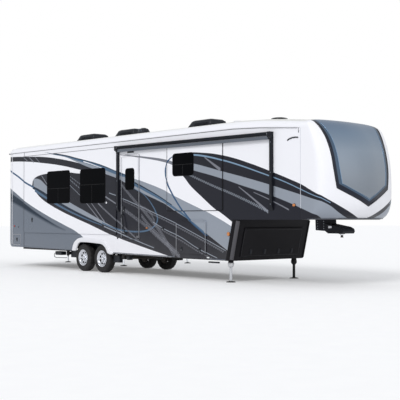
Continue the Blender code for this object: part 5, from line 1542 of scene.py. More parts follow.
@dataclass
class SideTrim:
    """Seals, corner trims, rails, seams and lamps on the two sides of the body."""

    rooms: tuple[str, ...] = ("room_living_curb", "room_bedroom_curb", "room_living_street",
        "room_bedroom_street")
    # section of a corner trim, left of the run being inwards: it laps a leaf's face and covers its edge
    lap: tuple[Point2, ...] = ((0.013, LIFT), (0.013, 0.0026), (-0.0028, 0.0026), (-0.0032, -0.0195),
        (-LIFT, -0.0195), (-LIFT, LIFT))
    gutter: tuple[Point2, ...] = ((-6.92, 3.64), (3.8, 3.64), (4.7, 3.6), (5.86, 3.51))

    def frame_rooms(self) -> None:
        """Each slide-out room has a bulb seal on the wall and a trim round its fascia."""
        for name in self.rooms:
            low, high = BOXES[name]
            side = 1 if low.y > 0 else -1
            x, z = (low.x, high.x), (low.z, high.z)
            seal = rounded(grown(x, 0.01), grown(z, 0.01), 0.02, 3)
            whole = "bedroom" in name
            path = seal if whole else seal[4:12]
            bulb = Form().moulding(path, half_round(0.018, 0.012), Axis.Y, side * WALL_Y, side, whole)
            bulb.piece(f"{name}_seal", RUBBER if whole else DARK_SEAM)
            if not whole:
                foot = seal[12:] + seal[:4]
                Form().moulding(foot, half_round(0.012, 0.004), Axis.Y, side * WALL_Y, side).piece(
                    f"{name}_wiper", BODY)
            # A thin dark strip just inside the fascia's rear edge: painted shadow along that edge.
            at = low.x + 0.022
            Form().moulding(((at, low.z + 0.02), (at, high.z - 0.02)), flat_bar(0.018, 0.0012, 0.0004),
                Axis.Y, side * FACE_Y, side).piece(f"{name}_reveal", DARK_SEAM, name)
            trim = rounded(x, z, 0.012, 3)
            Form().moulding(trim, self.lap, Axis.Y, side * FACE_Y, side, closed=True).piece(
                f"{name}_trim", ROOM_BODY, name, "shell", smooth=50)

    def frame_windows(self) -> None:
        """A thin black gasket where each pane meets the panel."""
        for name in frame["nodes"]:
            if not name.startswith("window_"):
                continue
            low, high = BOXES[name]
            side = 1 if low.y > 0 else -1
            plane = (high.y if side > 0 else -low.y) - 0.0085
            path = rounded(grown((low.x, high.x), 0.0035), grown((low.z, high.z), 0.0035), 0.09)
            body = frame["nodes"][name].parent.name.removeprefix("body:")
            Form().moulding(path, half_round(0.007, 0.005), Axis.Y, side * plane, side, closed=True).piece(
                f"{name}_gasket", RUBBER, body)

    def gutters(self) -> None:
        """Rain gutters along both edges of the roof, with a short spout at the front."""
        for side in Side:
            form = Form()
            section = [(-0.013, 0.0065), (-0.013, 0.019), (-0.009, 0.0215), (0.004, 0.0215), (0.01, 0.017),
                (0.01, 0.0065)]
            form.moulding(self.gutter, section, Axis.Y, side.value * WALL_Y, side.value)
            end_x, end_z = self.gutter[-1]
            spout = ((end_x - 0.012, end_z), (end_x + 0.006, end_z - 0.02), (end_x + 0.01, end_z - 0.075))
            form.moulding(spout, half_round(0.016, 0.02), Axis.Y, side.value * WALL_Y, side.value)
            form.piece(f"gutter_{side.word}", WHITE_MOULD, slot="shell", smooth=40)
            # A dark half-round just under the gutter: painted shadow of the gutter on the wall.
            shade = [(u, v - 0.0175) for u, v in self.gutter]
            Form().moulding(shade, half_round(0.012, 0.006), Axis.Y, side.value * WALL_Y, side.value).piece(
                f"gutter_seal_{side.word}", DARK_SEAM)
            ends = Form().moulding(((end_x + 0.012, end_z - 0.01), (end_x + 0.016, end_z - 0.12)),
                half_round(0.012, 0.01), Axis.Y, side.value * WALL_Y, side.value)
            ends.moulding(((-6.93, 3.622), (-6.88, 3.622)), flat_bar(0.04, 0.02), Axis.Y,
                side.value * WALL_Y, side.value)
            ends.piece(f"gutter_ends_{side.word}", BLACK, slot="black_plastic", smooth=40)

    def seams(self) -> None:
        """Cover strips where the caps meet the side walls, and the bead round the rear corner."""
        rows = (
            ("rear_seam", REAR_SEAM_X, 0.625, 3.615, 0.022, 0.003, DARK_SEAM),
            ("cap_seam", CAP_SEAM_X, 1.74, 3.48, 0.012, 0.003, PALE_SEAM),
            ("rear_bead", -6.735, 0.7, 3.61, 0.016, 0.008, WHITE_MOULD))
        for side in Side:
            for name, x, low, high, width, height, finish in rows:
                plane = side.value * (WALL_Y - (0.0003 if name == "rear_bead" else 0.0))
                run, section = ((x, low), (x, high)), flat_bar(width, height)
                Form().moulding(run, section, Axis.Y, plane, side.value).piece(
                    f"{name}_{side.word}", finish, slot="shell")

    def skirts(self) -> None:
        """Rub rails along the lower edges of the walls."""
        runs = (((-5.97, 0.628), (-3.17, 0.6)), ((-1.08, 0.58), (1.6, 0.553)), ((2.9, 0.54), (3.52, 0.533)))
        for side in Side:
            form = Form()
            for run in runs:
                form.moulding(run, flat_bar(0.02, 0.004), Axis.Y, side.value * WALL_Y, side.value)
            form.piece(f"skirt_rail_{side.word}", GREY_RAIL, slot="bare_aluminium")

    def build(self) -> None:
        """Builds every trim of both sides."""
        self.frame_rooms()
        self.frame_windows()
        self.gutters()
        self.seams()
        self.skirts()


@dataclass
class Shield:
    """The moulding round the shield on the nose, the scoop beside it and the cap's lower rail."""

    top_z: float = 3.6
    rail_steps: int = 40

    def build(self) -> None:
        """Drapes the mouldings over the cap."""
        cap = Shell()
        # inset from the shield's edge, width, height, finish
        rows = ((0.004, 0.02, 0.009, DARK_TRIM, "edge"), (0.147, 0.008, 0.0035, BLUE_TRIM, "line"))
        for inset, width, height, finish, word in rows:
            path = ShieldShape().outline(inset, self.top_z)
            places = [cap.nose(y, z) for y, z in path]
            normals = [cap.facing(y, z) for y, z in path]
            Form().draped(places, normals, half_round(width, height)).piece(
                f"shield_{word}", finish, slot="dark_shell", smooth=60)
        half = WALL_Y - 0.012
        path = [half * math.sin(math.pi / 2 * (2 * k / self.rail_steps - 1))
            for k in range(self.rail_steps + 1)]
        places = [cap.nose(y, BELLY_Z + 0.004) for y in path]
        normals = [cap.facing(y, BELLY_Z + 0.02) for y in path]
        Form().draped(places, normals, half_round(0.01, 0.004)).piece(
            "belly_edge", GREY_RAIL, slot="shell", smooth=60)
        for side in Side:
            scoop = ((5.54, 3.235), (5.6, 3.268), (5.7, 3.29), (5.8, 3.292), (5.865, 3.284))
            Form().moulding(scoop, flat_bar(0.026, 0.01), Axis.Y, side.value * WALL_Y, side.value).piece(
                f"scoop_{side.word}", BLACK, slot="black_plastic")
            brow = [(x - 0.004, z + 0.019) for x, z in scoop]
            Form().moulding(brow, half_round(0.014, 0.016), Axis.Y, side.value * WALL_Y, side.value).piece(
                f"scoop_brow_{side.word}", WHITE_MOULD, slot="shell", smooth=60)


@dataclass
class EntryDoor:
    """The entry door's trims, hinge cover, weather strip, drip cap, lamp, latch and grab handle."""

    frame_x: Point2 = (BOXES["door_frame"][0].x, BOXES["door_frame"][1].x)
    frame_z: Point2 = (BOXES["door_frame"][0].z, BOXES["door_frame"][1].z)
    leaf_x: Point2 = (-0.644, 0.06)
    leaf_z: Point2 = (1.006, 3.194)
    handle_x: float = -0.56
    handle_z: Point2 = (1.12, 1.64)

    def trims(self) -> None:
        """A bright cover strip round the frame, and the leaf's own raised edge."""
        strips("door_frame_trim", grown(self.frame_x, -0.01), grown(self.frame_z, -0.01), -FACE_Y, -1)
        plane = Surface("entry_door").plane(-0.3, 1.3, -1)
        edge = rounded(grown(self.leaf_x, -0.012), grown(self.leaf_z, -0.012), 0.02, 3)
        Form().moulding(edge, half_round(0.012, 0.0022), Axis.Y, plane, -1, closed=True).piece(
            "door_leaf_edge", BODY, "entry_door", "shell", smooth=60)
        seal = rounded(grown(self.frame_x, 0.006), grown(self.frame_z, 0.006), 0.055)
        Form().moulding(seal, half_round(0.008, 0.008), Axis.Y, -WALL_Y, -1, closed=True).piece(
            "door_frame_seal", SEAM)

    def lamp_and_drip(self) -> None:
        """A drip cap over the frame and a dark porch lamp over it."""
        low, high = self.frame_x
        top = self.frame_z[1]
        arc = ((low + 0.02, top + 0.006), (low + 0.16, top + 0.02), ((low + high) / 2, top + 0.024),
            (high - 0.16, top + 0.02), (high - 0.02, top + 0.006))
        Form().moulding(arc, half_round(0.012, 0.02), Axis.Y, -WALL_Y, -1).piece(
            "door_drip_cap", WHITE_MOULD, slot="shell", smooth=60)
        Form().pad((-0.41, -0.14), (3.288, 3.332), 0.012, Axis.Y, -WALL_Y, -1, 0.024, 0.005).piece(
            "porch_lamp", BLACK, slot="black_plastic", smooth=50)
        Form().pad((-0.395, -0.155), (3.276, 3.287), 0.004, Axis.Y, -WALL_Y, -1, 0.018, 0.003).piece(
            "porch_lamp_lens", CLEAR_LENS, slot="lamp_lens", smooth=50)

    def hardware(self) -> None:
        """A slanting black grab handle, a latch with its key barrel, and the hinge's end caps."""
        plane = Surface("entry_door").plane(-0.3, 1.3, -1)
        low, high = self.handle_z
        x = self.handle_x
        bar = ((x - 0.045, plane - 0.004, high), (x - 0.045, plane - 0.05, high - 0.02),
            (x - 0.03, plane - 0.056, high - 0.07), (x + 0.085, plane - 0.056, low + 0.07),
            (x + 0.1, plane - 0.05, low + 0.02), (x + 0.1, plane - 0.004, low))
        form = Form().tube(bar, 0.016, 12)
        for along, z in ((x - 0.045, high), (x + 0.1, low)):
            form.pad((along - 0.028, along + 0.028), (z - 0.04, z + 0.04), 0.02, Axis.Y, plane, -1, 0.006,
                0.002)
        form.piece("door_grab_handle", BLACK, "entry_door", "black_plastic", smooth=50)
        latch = Form().pad((-0.625, -0.52), (1.7, 1.85), 0.014, Axis.Y, plane, -1, 0.01, 0.003)
        latch.pad((-0.61, -0.535), (1.755, 1.835), 0.01, Axis.Y, plane - 0.0102, -1, 0.012, 0.004)
        latch.piece("door_latch", BLACK, "entry_door", "black_plastic", smooth=50)
        keys = Form()
        for z in (1.727, 1.745):
            keys.lathe(((-0.0106, 0.007), (-0.0125, 0.007), (-0.0132, 0.005)), (-0.5725, plane, z), Axis.Y,
                16)
        keys.piece("door_keys", CHROME, "entry_door", "bare_aluminium", smooth=50)
        caps = Form()
        for z in (1.04, 3.156):
            caps.pad((0.03, 0.054), (z - 0.035, z + 0.035), 0.006, Axis.Y, plane, -1, 0.005, 0.002)
        caps.piece("door_hinge_caps", ALUMINIUM, "entry_door", "bare_aluminium", smooth=50)

    def build(self) -> None:
        """Builds every piece of the door."""
        self.trims()
        self.lamp_and_drip()
        self.hardware()


class Kind(Enum):
    """What a small fitting on a side is."""

    MARKER = "marker"
    LATCH = "latch"
    DOT = "dot"
    HATCH = "hatch"
    VENT = "vent"


@dataclass(frozen=True)
class Fitting:
    """A small fitting on a side: its name, kind, middle, half size, the node under it and its body."""

    name: str
    kind: Kind
    at: Point2
    half: Point2 = (0.035, 0.014)
    finish: Finish = AMBER_LENS
    node: str = "wall"
    body: str = "trailer"
    sides: tuple[Side, ...] = tuple(Side)


@dataclass
class Fittings:
    """Lamps, latches, hatches, inlets and vents on the two sides."""

    rows: tuple[Fitting, ...] = (
        Fitting("marker_front", Kind.MARKER, (5.741, 1.811), (0.038, 0.03)),
        Fitting("marker_middle", Kind.MARKER, (0.45, 1.27), (0.034, 0.016)),
        Fitting("marker_leg", Kind.MARKER, (3.622, 1.15), (0.045, 0.045)),
        Fitting("marker_rear", Kind.MARKER, (-6.583, 1.281), (0.03, 0.02), RED_LENS, "rear_cap"),
        Fitting("skirt_lamp", Kind.MARKER, (2.9, 0.572), (0.045, 0.016), CLEAR_LENS),
        Fitting("rear_port", Kind.DOT, (-6.33, 1.25), (0.02, 0.02), BLACK, "rear_cap"),
        Fitting("speaker", Kind.DOT, (-1.385, 1.96), (0.03, 0.03), WHITE_MOULD, "room_living",
            "room_living", (Side.CURB,)),
        Fitting("hose_port", Kind.DOT, (-0.945, 1.18), (0.026, 0.026), WHITE_MOULD, sides=(Side.CURB,)),
        Fitting("cable_port", Kind.DOT, (-0.875, 0.985), (0.03, 0.024), BLACK),
        Fitting("hatch_rear", Kind.HATCH, (-6.43, 0.85), (0.235, 0.165), node="rear_cap"),
        Fitting("hatch_tail", Kind.HATCH, (-5.44, 0.855), (0.21, 0.15), sides=(Side.STREET,)),
        Fitting("hatch_front", Kind.HATCH, (1.14, 0.86), (0.26, 0.27), sides=(Side.STREET,)),
        Fitting("latch_tail", Kind.LATCH, (-5.446, 1.482), (0.036, 0.066), node="room_living",
            body="room_living"),
        Fitting("latch_middle", Kind.LATCH, (1.13, 1.26), (0.04, 0.04)),
        Fitting("latch_bay_rear", Kind.LATCH, (1.9, 0.76), (0.036, 0.052), node="bay_door",
            body="bay_door"),
        Fitting("latch_bay_front", Kind.LATCH, (2.6, 0.75), (0.036, 0.052), node="bay_door",
            body="bay_door"),
        Fitting("heater_vent", Kind.VENT, (-4.35, 0.83), (0.15, 0.09), BODY, sides=(Side.STREET,)),
        Fitting("fridge_vent", Kind.VENT, (4.4, 1.9), (0.16, 0.11), DARK_TRIM, sides=(Side.STREET,)),
    )
    def marker(self, row: Fitting, x: Point2, z: Point2, y: float, side: Side, body: str) -> None:
        """A lamp: black base and moulded lens."""
        radius = min(row.half) * 0.95
        Form().pad(grown(x, 0.006), grown(z, 0.006), radius, Axis.Y, y, side.value, 0.006, 0.002).piece(
            f"{row.name}_base_{side.word}", BLACK, body, "black_plastic", smooth=50)
        Form().pad(x, z, radius * 0.9, Axis.Y, y + side.value * 0.0062, side.value, 0.014, 0.006).piece(
            f"{row.name}_lens_{side.word}", row.finish, body, "lamp_lens", smooth=50)

    def latch(self, row: Fitting, x: Point2, z: Point2, y: float, side: Side, body: str) -> None:
        """A paddle latch: bezel, paddle and key barrel."""
        form = Form().pad(x, z, 0.012, Axis.Y, y, side.value, 0.007, 0.002)
        share = z[0] + (z[1] - z[0]) * 0.42
        form.pad(grown(x, -0.009), (share, z[1] - 0.009), 0.006, Axis.Y, y + side.value * 0.0072,
            side.value, 0.0066, 0.002)
        form.piece(f"{row.name}_{side.word}", BLACK, body, "black_plastic", smooth=50)
        middle = ((x[0] + x[1]) / 2, y, z[0] + (z[1] - z[0]) * 0.22)
        barrel = [(side.value * a, r) for a, r in ((0.0076, 0.008), (0.01, 0.008), (0.0108, 0.006))]
        Form().lathe(barrel, middle, Axis.Y, 16).piece(
            f"{row.name}_key_{side.word}", CHROME, body, "bare_aluminium", smooth=50)

    def dot(self, row: Fitting, x: Point2, z: Point2, y: float, side: Side, body: str) -> None:
        """A round boss with a cap: a port or a speaker."""
        middle = (sum(x) / 2, y, sum(z) / 2)
        r = row.half[0]
        profile = ((LIFT, r), (0.004, r), (0.006, r * 0.94), (0.0064, r * 0.72), (0.012, r * 0.66),
            (0.014, r * 0.5), (0.0146, r * 0.1))
        Form().lathe([(side.value * a, radius) for a, radius in profile], middle, Axis.Y, 32).piece(
            f"{row.name}_{side.word}", row.finish, body, "shell", smooth=40)

    def hatch(self, row: Fitting, x: Point2, z: Point2, y: float, side: Side, body: str) -> None:
        """A service hatch: a thin flanged frame, its seal, and a latch in the middle of its lower part."""
        outline = rounded(x, z, 0.03)
        Form().moulding(outline, flat_bar(0.016, 0.0035), Axis.Y, y, side.value, closed=True).piece(
            f"{row.name}_frame_{side.word}", ALUMINIUM, body, "bare_aluminium")
        inner = rounded(grown(x, -0.014), grown(z, -0.014), 0.022)
        Form().moulding(inner, half_round(0.005, 0.002), Axis.Y, y, side.value, closed=True).piece(
            f"{row.name}_seal_{side.word}", RUBBER, body)
        middle = sum(x) / 2
        height = sum(z) / 2
        self.latch(row, (middle - 0.036, middle + 0.036), (height - 0.058, height + 0.058), y, side, body)

    def vent(self, row: Fitting, x: Point2, z: Point2, y: float, side: Side, body: str) -> None:
        """A louvred vent: a frame round sloping blades."""
        form = Form().moulding(rounded(x, z, 0.014, 3), flat_bar(0.014, 0.006), Axis.Y, y, side.value,
            closed=True)
        low, high = z[0] + 0.016, z[1] - 0.016
        count = max(3, int((high - low) / 0.022))
        for k in range(count):
            at = low + (high - low) * (k + 0.5) / count
            blade = ((y + side.value * LIFT, at + 0.007), (y + side.value * 0.0055, at - 0.004),
                (y + side.value * 0.0055, at - 0.006), (y + side.value * LIFT, at + 0.004))
            form.prism(blade, Axis.X, x[0] + 0.009, x[1] - 0.009)
        form.piece(f"{row.name}_{side.word}", row.finish, body, "shell")

    def build(self) -> None:
        """Sets every fitting on the surface under it, on the sides that it is for."""
        makers = {Kind.MARKER: self.marker, Kind.LATCH: self.latch, Kind.DOT: self.dot,
            Kind.HATCH: self.hatch, Kind.VENT: self.vent}
        surfaces: dict[str, Surface] = {}
        for row in self.rows:
            for side in row.sides:
                node = row.node if row.node == "rear_cap" else f"{row.node}_{side.word}"
                if node not in surfaces:
                    surfaces[node] = Surface(node)
                y = surfaces[node].plane(*row.at, side.value)
                body = row.body if row.body == "trailer" else f"{row.body}_{side.word}"
                x, z = ((row.at[i] - row.half[i], row.at[i] + row.half[i]) for i in (0, 1))
                makers[row.kind](row, x, z, y, side, body)
        for side in Side:
            y = surfaces[f"bay_door_{side.word}"].plane(2.25, 0.9, side.value)
            strips(f"bay_door_edge_{side.word}", (1.692, 2.808), (0.652, 1.428), y, side.value,
                f"bay_door_{side.word}")


@dataclass
class Awning:
    """The rolled fabric, its end caps, the rail under it and the folded arms' joints."""

    rear: Point3 = (-0.794, -1.345, 3.457)
    front: Point3 = (5.024, -1.345, 3.42)
    radius: float = 0.045

    def build(self) -> None:
        """Builds the roller and its rail, and dresses the arms."""
        ends = (Vector(self.rear), Vector(self.front))
        run = (ends[1] - ends[0]).normalized()
        inner = (ends[0] + run * 0.012, ends[1] - run * 0.012)
        steps = 24
        rings = []
        for place in inner:
            ring = []
            for k, a in enumerate(turns(steps)):
                # The rolled fabric is a little out of round, with its free edge on the outside.
                radius = self.radius - 0.0022 + 0.0016 * k / steps
                ring.append((place.x, place.y + radius * math.cos(a), place.z + radius * math.sin(a)))
            rings.append(ring)
        Form().loft(rings).piece("awning_roll", FABRIC, slot="black_plastic", smooth=40,
            replaces=("awning_roller",))
        caps = Form()
        for place, way in ((ends[0], 1), (ends[1], -1)):
            profile = ((0.0, 0.02), (0.002, 0.041), (0.004, 0.0445), (0.01, 0.0445), (0.0115, 0.043))
            caps.lathe([(way * a, r) for a, r in profile], tuple(place), Axis.X, 32)
        caps.piece("awning_end_caps", ALUMINIUM, slot="bare_aluminium", smooth=40)
        # outline under the roller, as Y and drop below its middle
        rail = ((-1.348, -0.052), (-1.312, -0.052), (-1.304, -0.06), (-1.304, -0.124), (-1.348, -0.124))
        form = Form()
        form.loft([[(place.x, y, place.z + drop) for y, drop in rail] for place in inner])
        form.piece("awning_rail", GREY_RAIL, slot="black_plastic", bevel=0.002)
        bead = [(place.x, -1.35, place.z - 0.05) for place in inner]
        Form().tube(bead, 0.0022, 8).piece("awning_bead", ALUMINIUM, slot="bare_aluminium")
        dress(POWDER, "awning_arm_front", "awning_arm_rear")
        for word, x, top in (("rear", -0.8375, 3.46), ("front", 5.0675, 3.42)):
            pins = Form()
            pin = ((-(WALL_Y + 0.0556), 0.014), (-(WALL_Y + 0.062), 0.014), (-(WALL_Y + 0.064), 0.01))
            for z in (top - 0.19, 2.55, 1.84):
                pins.lathe(pin, (x, 0.0, z), Axis.Y, 16)
            pins.piece(f"awning_pins_{word}", GREY_RAIL, slot="bare_aluminium", smooth=40)
            slot = Form().pad((x - 0.014, x + 0.014), (1.95, 2.48), 0.012, Axis.Y, -(WALL_Y + 0.055), -1,
                0.004, 0.001)
            slot.piece(f"awning_strut_{word}", BLACK, slot="black_plastic")
        knob = ((-1.3402, 0.016), (-1.352, 0.022), (-1.366, 0.022), (-1.374, 0.016))
        knobs = Form()
        for x, z in ((5.0675, 3.44), (-0.8375, 3.475)):
            knobs.lathe([(a - 0.011, r) for a, r in knob], (x, 0.0, z), Axis.Y, 20)
        knobs.piece("awning_knobs", BLACK, slot="black_plastic", smooth=40)


@dataclass
class RoofUnits:
    """Air conditioners with louvres and fixings, a louvred vent cover and a smoked dome."""

    units: tuple[str, ...] = ("air_unit_front", "air_unit_middle", "air_unit_rear")
    blades: int = 7

    def air_unit(self, name: str) -> None:
        """Louvres along both flanks, bolts at their feet and a gasket round the shroud's foot."""
        dress(BLACK, name)
        low, high = BOXES[name]
        form = Form()
        for side in (-1, 1):
            for k in range(self.blades):
                z = low.z + 0.05 + 0.0165 * k
                lean = max(0.0, (z - low.z) / 0.24 - 0.55) * 0.089
                y = side * (0.3095 - lean)
                inner, outer = y - side * 0.004, y + side * 0.007
                blade = ((inner, z + 0.006), (outer, z - 0.001), (outer, z - 0.003), (inner, z + 0.001))
                form.prism(blade, Axis.X, low.x + 0.4, low.x + 0.66)
                form.prism(blade, Axis.X, low.x + 0.69, low.x + 0.95)
        form.piece(f"{name}_louvres", POWDER, slot="black_plastic")
        bolts = Form()
        for side in (-1, 1):
            for along in (0.34, 0.99):
                bolts.lathe([(side * a, r) for a, r in ((0.3085, 0.009), (0.315, 0.009), (0.317, 0.006))],
                    (low.x + along, 0.0, low.z + 0.03), Axis.Y, 12)
        bolts.piece(f"{name}_bolts", CHROME, slot="bare_aluminium", smooth=40)
        roof = Surface("roof")
        rings = []
        for grow, lift in ((0.0, LIFT), (0.0, 0.01), (-0.008, 0.014)):
            outline = rounded(grown((low.x + 0.02, high.x - 0.02), grow), grown((-0.325, 0.325), grow), 0.05)
            rings.append([(x, y, roof.top(x, y) + lift) for x, y in outline])
        Form().loft(rings).piece(f"{name}_gasket", RUBBER)

    def build(self) -> None:
        """Builds all roof fittings."""
        for name in self.units:
            self.air_unit(name)
        dress(BLACK, "roof_vent")
        low, high = BOXES["roof_vent"]
        form = Form()
        for k in range(5):
            z = low.z + 0.052 + 0.022 * k
            blade = ((low.y + 0.004, z + 0.006), (low.y - 0.006, z - 0.002), (low.y - 0.006, z - 0.004),
                (low.y + 0.004, z))
            form.prism(blade, Axis.X, low.x + 0.04, high.x - 0.04)
        form.piece("roof_vent_louvres", GREY_RAIL, slot="black_plastic")
        dress(BLACK, "roof_dome")
        low, high = BOXES["roof_dome"]
        cover = ((0.001, 0.205), (0.01, 0.203), (0.024, 0.18), (0.036, 0.12), (0.04, 0.04))
        Form().lathe(cover, ((low.x + high.x) / 2, 0.0, high.z), Axis.Z, 40).piece(
            "roof_dome_cover", DARK_TRIM, slot="black_plastic", smooth=60)
        roof = Surface("roof")
        for name, x, y, radius, height in (
                ("plumbing_vent_rear", -4.0, 0.62, 0.045, 0.09),
                ("plumbing_vent_front", 2.9, 0.58, 0.045, 0.09), ("antenna_base", 3.1, -0.45, 0.11, 0.05)):
            profile = ((0.002, radius * 1.6), (0.008, radius * 1.6), (0.012, radius),
                (height - 0.012, radius), (height - 0.004, radius * 1.12), (height, radius * 0.8))
            pipe = Form().lathe(profile, (x, y, roof.top(x, y)), Axis.Z, 28)
            pipe.piece(name, WHITE_MOULD, slot="shell", smooth=40)


@dataclass(frozen=True)
class LegFinish(Finish):
    """A landing leg: black outer tube, bright collar and ram, dark foot."""

    label: str = "landing_leg"
    # how much of the bright collar and ram shows; at 0 they are painted black as painted shade, for a leg
    # that lies in shadow
    bright: float = 1.0
    collar_z: Point2 = (0.355, 0.462)
    foot_z: float = 0.032

    def build(self, graph: Graph) -> bpy.types.Material:
        """Bands by height, with scratches and dust."""
        _, _, z = graph.place()
        grain = graph.noise((60.0, 60.0, 9.0), 3.0)
        ram = z.between(self.foot_z, self.collar_z[1]) * self.bright
        collar = z.between(*self.collar_z) * self.bright
        black = graph.mix(grain, srgb(17, 17, 20), srgb(30, 30, 33))
        steel = graph.mix(grain, srgb(186, 188, 192), srgb(214, 216, 220))
        zinc = graph.mix(grain, srgb(196, 197, 200), srgb(228, 229, 232))
        low = z.below(0.03, 0.05) * grain * 0.4
        clean = graph.mix(collar, graph.mix(ram, black, steel), zinc)
        return graph.surface(
            Base_Color=graph.mix(low, clean, srgb(120, 114, 108)), Metallic=ram * 0.55,
            Roughness=grain * 0.12 + 0.44 - ram * 0.2, IOR_Level=0.25,
            Normal=graph.bump(grain, 0.3, 0.0004))


@dataclass
class Underbody:
    """Brake plates, jacks, tank housings, pipes, springs' bolts and the pin box's plates."""

    wheels_x: tuple[float, float] = (-2.645, -1.695)
    hub_z: float = 0.39
    plate_y: Point2 = (1.013, 1.0185)
    # x, y, z of black tank and pump housings at the curb side
    housings: tuple[tuple[Point2, Point2, Point2], ...] = (
        ((-4.27, -3.93), (-1.16, -0.98), (0.42, 0.532)), ((-3.74, -3.66), (-1.05, -0.9), (0.44, 0.532)),
        ((-3.49, -3.16), (-1.1, -0.98), (0.37, 0.59)), ((-1.25, -0.96), (-1.14, -0.96), (0.3, 0.5)),
        ((-0.66, -0.52), (-1.13, -1.0), (0.41, 0.508)))

    def brakes(self) -> None:
        """Backing plates that close the wheels' inner sides."""
        for side in Side:
            form = Form()
            for x in self.wheels_x:
                low, high = self.plate_y
                profile = ((low, 0.157), (low, 0.2), (low + 0.004, 0.208), (high, 0.208), (high, 0.157))
                form.lathe([(side.value * a, r) for a, r in profile], (x, 0.0, self.hub_z), Axis.Y, 40,
                    closed=True)
            form.piece(f"brake_plates_{side.word}", BRAKE, slot="frame_steel", smooth=40)
        dress(BRAKE, "axle_front", "axle_rear")
        dress(CHASSIS, "springs_curb", "springs_street")

    def bolts(self) -> None:
        """U-bolts round the axles at each spring."""
        for side in Side:
            form = Form()
            for x in self.wheels_x:
                for end in (-1, 1):
                    y = side.value * 0.86
                    for across in (-0.042, 0.042):
                        form.tube(((x + end * 0.06, y + across, 0.33), (x + end * 0.06, y + across, 0.5)),
                            0.007, 8)
                form.block((x - 0.08, x + 0.08), (side.value * 0.86 - 0.055, side.value * 0.86 + 0.055),
                    (0.322, 0.332))
            form.piece(f"spring_bolts_{side.word}", GALVANISED, slot="frame_steel")

    def build(self) -> None:
        """Builds all that hangs under the floor."""
        dress(CHASSIS, "chassis_frame", "pan_rear", "pan_middle")
        dress(POWDER, "pin_box")
        dress(LegFinish(), "landing_leg_curb")
        # The far leg's collar and ram are painted black: painted shade, as that leg lies in shadow under the
        # trailer.
        dress(LegFinish("far_landing_leg", 0.0), "landing_leg_street")
        self.brakes()
        self.bolts()
        for side, word in ((-1, "curb"), (1, "street")):
            form = Form()
            for x, y, z in self.housings:
                form.block(x, (-side * y[0], -side * y[1]), z)
            form.piece(f"housings_{word}", BLACK, slot="black_plastic", bevel=0.012)
            loop = ((-4.2, 0.48), (-4.36, 0.495), (-4.45, 0.455), (-4.475, 0.405), (-4.45, 0.355),
                (-4.36, 0.33), (-4.1, 0.338), (-3.66, 0.345))
            pipe = Form().tube([(x, side * 1.07, z) for x, z in loop], 0.011, 10)
            pipe.piece(f"pipe_{word}", GALVANISED, slot="bare_aluminium", smooth=60)
            rams = Form()
            for x in (-3.58, -0.76):
                profile = ((0.256, 0.0275), (0.405, 0.0275), (0.405, 0.0266), (0.256, 0.0266))
                rams.lathe(profile, (x, side * 1.14, 0.0), Axis.Z, 24, closed=True)
            rams.piece(f"jack_rams_{word}", CHROME, slot="bare_aluminium", smooth=40)
            # A black sheet behind the wheels: painted shade in the open space over the axles.
            liner = rounded((-3.2, -0.68), (0.505, 0.95), 0.1)
            Form().prism(liner, Axis.Y, *sorted((side * 0.93, side * 0.935))).piece(
                f"wheel_well_liner_{word}", BLACK, slot="black_plastic")
        Form().tube(((2.79, -1.15, 0.455), (3.17, -1.15, 0.455)), 0.02, 12).piece(
            "leg_motor", BLACK, slot="black_plastic", smooth=40)
        self.pin_box()

    def pin_box(self) -> None:
        """Side plates with their bolts, an air-bag block and the kingpin's bright collar."""
        dress(BRAKE, "kingpin")
        collar = ((-0.004, 0.0372), (-0.004, 0.0395), (-0.034, 0.0395), (-0.034, 0.0372))
        Form().lathe(collar, (6.02, 0.0, 1.1785), Axis.Z, 28, closed=True).piece(
            "kingpin_collar", CHROME, slot="bare_aluminium", smooth=40)
        for side, word in ((-1, "curb"), (1, "street")):
            heads = Form()
            head = [(side * a, r) for a, r in ((0.2004, 0.013), (0.2105, 0.013), (0.212, 0.01))]
            for x in (5.475, 5.66):
                for z in (1.29, 1.345, 1.4, 1.455):
                    heads.lathe(head, (x, 0.0, z), Axis.Y, 6)
            heads.piece(f"pin_box_bolts_{word}", GALVANISED, slot="bare_aluminium")
            Form().pad((5.79, 5.89), (1.3, 1.352), 0.008, Axis.Y, side * 0.2, side, 0.006, 0.002).piece(
                f"pin_box_plate_{word}", PLATE, slot="bare_aluminium")


